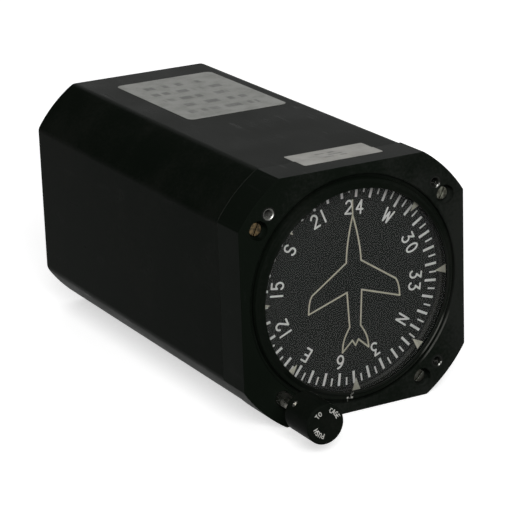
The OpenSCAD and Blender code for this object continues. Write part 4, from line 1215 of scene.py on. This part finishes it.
@dataclass
class CagingKnob:
    """Push-to-cage knob with its letters, set screw and shaft."""

    nodes: Nodes
    words: tuple[tuple[str, float, float], ...] = (("PUSH", 225.0, 3.8), ("TO", 124.0, 4.45),
                                                   ("CAGE", 45.0, 4.9))
    cap: float = 1.42
    stroke: float = 0.28
    gap: float = 0.26
    paint_h: float = 0.05
    edge: float = 0.12
    screw_edge: float = 0.05
    finish: Lacquer = Lacquer(colour=(0.0048, 0.0064, 0.0048), roughness=0.36, gloss=0.004,
                              grain=0.3, grain_depth=0.006, wear_and_glint=0.02)
    shaft: Metal = Metal(colour=(0.70, 0.68, 0.62), tarnish=(0.30, 0.29, 0.26), roughness=0.25,
                         lay=Lay.BRUSHED, pitch=0.6, tarnished=0.4)
    screw: Metal = Metal(colour=(0.90, 0.89, 0.84), roughness=0.16, tarnished=0.2)
    white: FlatPaint = FlatPaint((0.62, 0.62, 0.58), (0.34, 0.34, 0.31))

    def build(self) -> None:
        """Softens the knob, letters its face and dresses what it carries."""
        low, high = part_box("knob")
        centre = ((low.x + high.x) / 2 / MM, (low.z + high.z) / 2 / MM)
        rim = high.x / MM - centre[0] - 0.6
        knob = Softening("knob", "knob", Slot.KNOB,
                         ((self.edge, lambda p: radius_from(p, *centre) > rim),), sharp=20.0)
        knob.piece(self.nodes, self.finish, "knob finish")
        words = [Inscription(text, angle, radius, self.cap, self.gap, bent=True)
                 for text, angle, radius in self.words]
        letters = lettering("knob_letters", [s for word in words for s in word.strokes()],
                            self.stroke, centre, low.y / MM, self.paint_h)
        fit(letters, "knob", Slot.WHITE, self.white, "letter paint")
        Softening("knob_shaft", "knob", Slot.STEEL).piece(self.nodes, self.shaft, "shaft steel")
        Softening("set_screw", "knob", Slot.STEEL, ((self.screw_edge, lambda p: p[:, 1] < 0.0),)
                  ).piece(self.nodes, self.screw, "set screw steel")


@dataclass
class Sticker:
    """A thin label on the case's top, over whatever steps lie under it.

    Its half width at a distance d from its middle along Y is w - r + sqrt(r^2 - (|d| - h + r)^2) in
    its rounded corners and w elsewhere. Its face is the height under it, plus its thickness, plus
    shallow waves of three sines.
    """

    name: str
    left: float
    right: float
    front: float
    rear: float
    corner: float
    under: Callable[[np.ndarray], np.ndarray]
    finish: Foil
    thick: float = 0.06
    wave: float = 0.03
    sunk: float = 0.02
    rows: int = 71
    cols: int = 41
    corner_rows: int = 7

    def build(self) -> None:
        """Makes the label as one closed sheet that rides on the case."""
        w, h, r = (self.right - self.left) / 2, (self.rear - self.front) / 2, self.corner
        ends = r * (1 - np.cos(np.linspace(0.0, math.pi / 2, self.corner_rows)))
        d = np.r_[-h + ends, np.linspace(-h + r, h - r, self.rows)[1:-1], (h - ends)[::-1]]
        over = np.clip(np.abs(d) - h + r, 0.0, r)
        half = w - r + np.sqrt(r * r - over * over)
        share = np.linspace(-1.0, 1.0, self.cols)
        x = (self.left + self.right) / 2 + half[:, None] * share
        y = (self.front + self.rear) / 2 + np.broadcast_to(d[:, None], x.shape)
        waves = (np.sin(x * 0.31 + y * 0.17) + np.sin(x * 0.13 - y * 0.41 + 1.0)
                 + np.sin(x * 0.83 + y * 0.59 + 2.0) * 0.4) / 2.4
        base = self.under(y)
        crown = base + self.thick + self.wave * (0.5 + 0.5 * waves)
        top = np.stack([x, y, crown], -1).reshape(-1, 3)
        low = np.stack([x, y, base - self.sunk], -1).reshape(-1, 3)
        rows, cols = x.shape
        count = rows * cols
        quads = grid_quads(rows, cols, False)
        ring = np.r_[np.arange(cols), np.arange(1, rows) * cols + cols - 1,
                     (rows - 1) * cols + np.arange(cols - 1)[::-1],
                     np.arange(1, rows - 1)[::-1] * cols]
        after = np.roll(ring, -1)
        walls = np.stack([ring, after, after + count, ring + count], -1)
        faces = np.concatenate([quads, quads[:, ::-1] + count, walls])
        obj = new_object(self.name, np.concatenate([top, low]), faces.tolist(), 50.0)
        fit(obj, "case", Slot.STEEL, self.finish, self.name + " foil")


@dataclass
class Labels:
    """The two unlettered foil labels on top: a large one on the case, a small one over the seam."""

    frame_top: float = 42.5
    case_top: float = 42.25
    seam_front: float = 14.5
    seam_rear: float = 15.0

    def over_seam(self, y: np.ndarray) -> np.ndarray:
        """Height under the small label: the frame's top, a soft step, then the case's top."""
        run = self.seam_rear - self.seam_front + 0.9
        t = np.clip((y - self.seam_front + 0.3) / run, 0.0, 1.0)
        return self.frame_top + (self.case_top - self.frame_top) * (3 * t**2 - 2 * t**3)

    def build(self) -> None:
        """Makes both labels."""
        Sticker("rating_label", left=-16.4, right=22.9, front=82.4, rear=142.2, corner=2.5,
                under=lambda y: np.full_like(y, self.case_top), finish=Foil()).build()
        Sticker("inspection_label", left=-13.2, right=16.6, front=8.0, rear=22.1, corner=0.8,
                under=self.over_seam, wave=0.02,
                finish=Foil(colour=(0.30, 0.295, 0.27), scuffed=(0.255, 0.25, 0.23), first=13.0,
                            pitch=2.6, rows=3, tall=1.3, left=-3.0, right=5.0, shade=0.6)).build()


@dataclass
class Mechanism:
    """Everything inside the case: setting gears, caging gear, gimbals and rotor."""

    nodes: Nodes

    def finishes(self) -> dict[str, tuple[Finish, str]]:
        """Each inner finish by material name, with the names of the solids that it goes on."""
        gyro_y = sum(v.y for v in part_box("rotor")) / 2 / MM
        knob = [(a + b) / 2 / MM for a, b in zip(*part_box("knob"))]
        return {
            "bushing bronze": (
                Metal((0.52, 0.36, 0.17), (0.28, 0.19, 0.09), lay=Lay.TURNED, pitch=0.3,
                      centre=(knob[0], 0.0, knob[2])), "shaft_bushing"),
            "gear brass": (
                Metal((0.60, 0.44, 0.20), (0.36, 0.26, 0.12), lay=Lay.TURNED, pitch=0.35),
                "setting_gear idler_gear caging_pinion card_bevel_ring gimbal_bevel_ring air_tube "
                "air_nozzle"),
            "rotor brass": (
                Metal((0.58, 0.42, 0.19), (0.38, 0.27, 0.13), lay=Lay.TURNED, pitch=0.3,
                      centre=(0.0, gyro_y, 0.0)), "rotor"),
            "milled aluminium": (
                Metal((0.62, 0.63, 0.64), (0.42, 0.43, 0.43), 0.36, Lay.BRUSHED, pitch=0.4),
                "front_plate gyro_frame card_hub frame_posts"),
            "gimbal aluminium": (
                Metal((0.58, 0.59, 0.60), (0.40, 0.41, 0.41), 0.42, pitch=0.8, depth=0.01),
                "outer_gimbal inner_gimbal"),
            "bearing steel": (
                Metal((0.60, 0.60, 0.59), (0.40, 0.40, 0.38), 0.18, Lay.TURNED, pitch=0.2),
                "card_bearing_front card_bearing_rear upper_bearing lower_bearing tilt_bearings "
                "rotor_bearings"),
            "ground steel": (
                Metal((0.52, 0.52, 0.50), (0.32, 0.31, 0.29), 0.26, Lay.BRUSHED, pitch=0.3),
                "card_shaft rotor_axle idler_stud lever_pivot caging_pin caging_spool caging_lever "
                "spring_washer seal_washer return_spring"),
            "fixing steel": (
                Metal((0.46, 0.46, 0.44), (0.26, 0.25, 0.23), 0.34, pitch=0.5),
                "post_screws plate_screws"),
            "seal rubber": (Elastomer(), "shaft_seal"),
        }

    def build(self) -> None:
        """Dresses every inner solid."""
        for name, (finish, members) in self.finishes().items():
            for member in members.split():
                dress(self.nodes[member], finish, name)
            log.info("%s on %s", name, members)


@dataclass
class Lamp:
    """A square soft lamp that looks at a target."""

    name: str
    place: tuple[float, float, float]
    target: tuple[float, float, float]
    size: float
    watts: float

    def build(self) -> None:
        """Adds the lamp."""
        light = bpy.data.lights.new(self.name, "AREA")
        light.shape, light.size, light.energy = "SQUARE", self.size, self.watts
        away = Vector(self.place) - Vector(self.target)
        turn = away.to_track_quat("Z", "Y").to_matrix().to_4x4()
        link(self.name, light).matrix_world = Matrix.Translation(self.place) @ turn
        log.info("%s at %s, %.0f W", self.name, self.place, self.watts)


@dataclass
class Studio:
    """Camera at the photograph's viewing angle, pale floor, soft lamps and dim surroundings."""

    eye: tuple[float, float, float] = (-0.37478, -0.63037, 0.25159)
    azimuth: float = -28.221
    elevation: float = 18.044
    roll: float = -2.054
    focal_px: float = 2366.2
    image_px: float = 512.0
    sensor: float = 36.0
    floor_z: float = -0.0425
    floor_r: tuple[float, ...] = (0.05, 0.3, 1.0, 3.0, 9.0)
    floor_sides: int = 96
    surroundings: float = 0.13
    lamps: list[Lamp] = field(default_factory=lambda: [
        Lamp("key softbox", (-0.50, -1.25, 0.85), (0.0, 0.03, 0.0), 0.8, 21.0),
        Lamp("top softbox", (0.15, 0.25, 1.5), (0.0, 0.06, 0.0), 1.4, 4.0),
        Lamp("rear softbox", (0.62, 1.25, 0.55), (0.0, 0.08, 0.02), 0.9, 3.4),
    ])

    def camera(self) -> None:
        """Places the camera: X right, Y up and Z back are the columns of its matrix."""
        a, e, t = (math.radians(v) for v in (self.azimuth, self.elevation, self.roll))
        back = Vector((math.sin(a) * math.cos(e), -math.cos(a) * math.cos(e), math.sin(e)))
        right = (-back).cross(Vector((0.0, 0.0, 1.0))).normalized()
        up = right.cross(-back)
        x = right * math.cos(t) + up * math.sin(t)
        y = up * math.cos(t) - right * math.sin(t)
        data = bpy.data.cameras.new("camera")
        data.sensor_width = self.sensor
        data.lens = self.sensor * self.focal_px / self.image_px
        data.clip_start, data.clip_end = 0.01, 50.0
        obj = link("camera", data)
        obj.matrix_world = Matrix.Translation(self.eye) @ Matrix((x, y, back)).transposed().to_4x4()
        bpy.context.scene.camera = obj

    def floor(self) -> None:
        """Lays the floor as a flat disc: (r cos t, r sin t) on rings of growing radius."""
        t = np.linspace(0, 2 * math.pi, self.floor_sides, endpoint=False)
        r, rows = np.array(self.floor_r)[:, None] / MM, len(self.floor_r)
        x, y = r * np.cos(t), r * np.sin(t)
        points = np.stack([x, y, np.full_like(x, self.floor_z / MM)], -1).reshape(-1, 3)
        faces = grid_quads(rows, self.floor_sides, True).tolist() + [list(range(self.floor_sides))]
        obj = new_object("floor", points, faces)
        dress(obj, FloorFinish(), "floor paint")

    def world(self) -> None:
        """Sets plain grey surroundings."""
        world = bpy.data.worlds.new("surroundings")
        world.use_nodes = True
        inputs = world.node_tree.nodes["Background"].inputs
        inputs["Color"].default_value = (*(self.surroundings,) * 3, 1.0)
        inputs["Strength"].default_value = 1.0
        bpy.context.scene.world = world

    def build(self) -> None:
        """Sets up camera, floor, world and lamps."""
        bpy.context.scene.view_settings.view_transform = "Standard"
        self.camera()
        self.floor()
        self.world()
        for lamp in self.lamps:
            lamp.build()


def main() -> None:
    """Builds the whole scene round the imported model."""
    logging.basicConfig(level=logging.INFO, format="%(name)s: %(message)s")
    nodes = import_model()["nodes"]
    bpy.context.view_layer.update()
    Studio().build()
    for part in (Housing(nodes), Dial(nodes), CagingKnob(nodes), Labels(), Mechanism(nodes)):
        part.build()
        log.info("%s is built", type(part).__name__)
    bpy.context.view_layer.update()


if __name__ == "__main__":
    main()
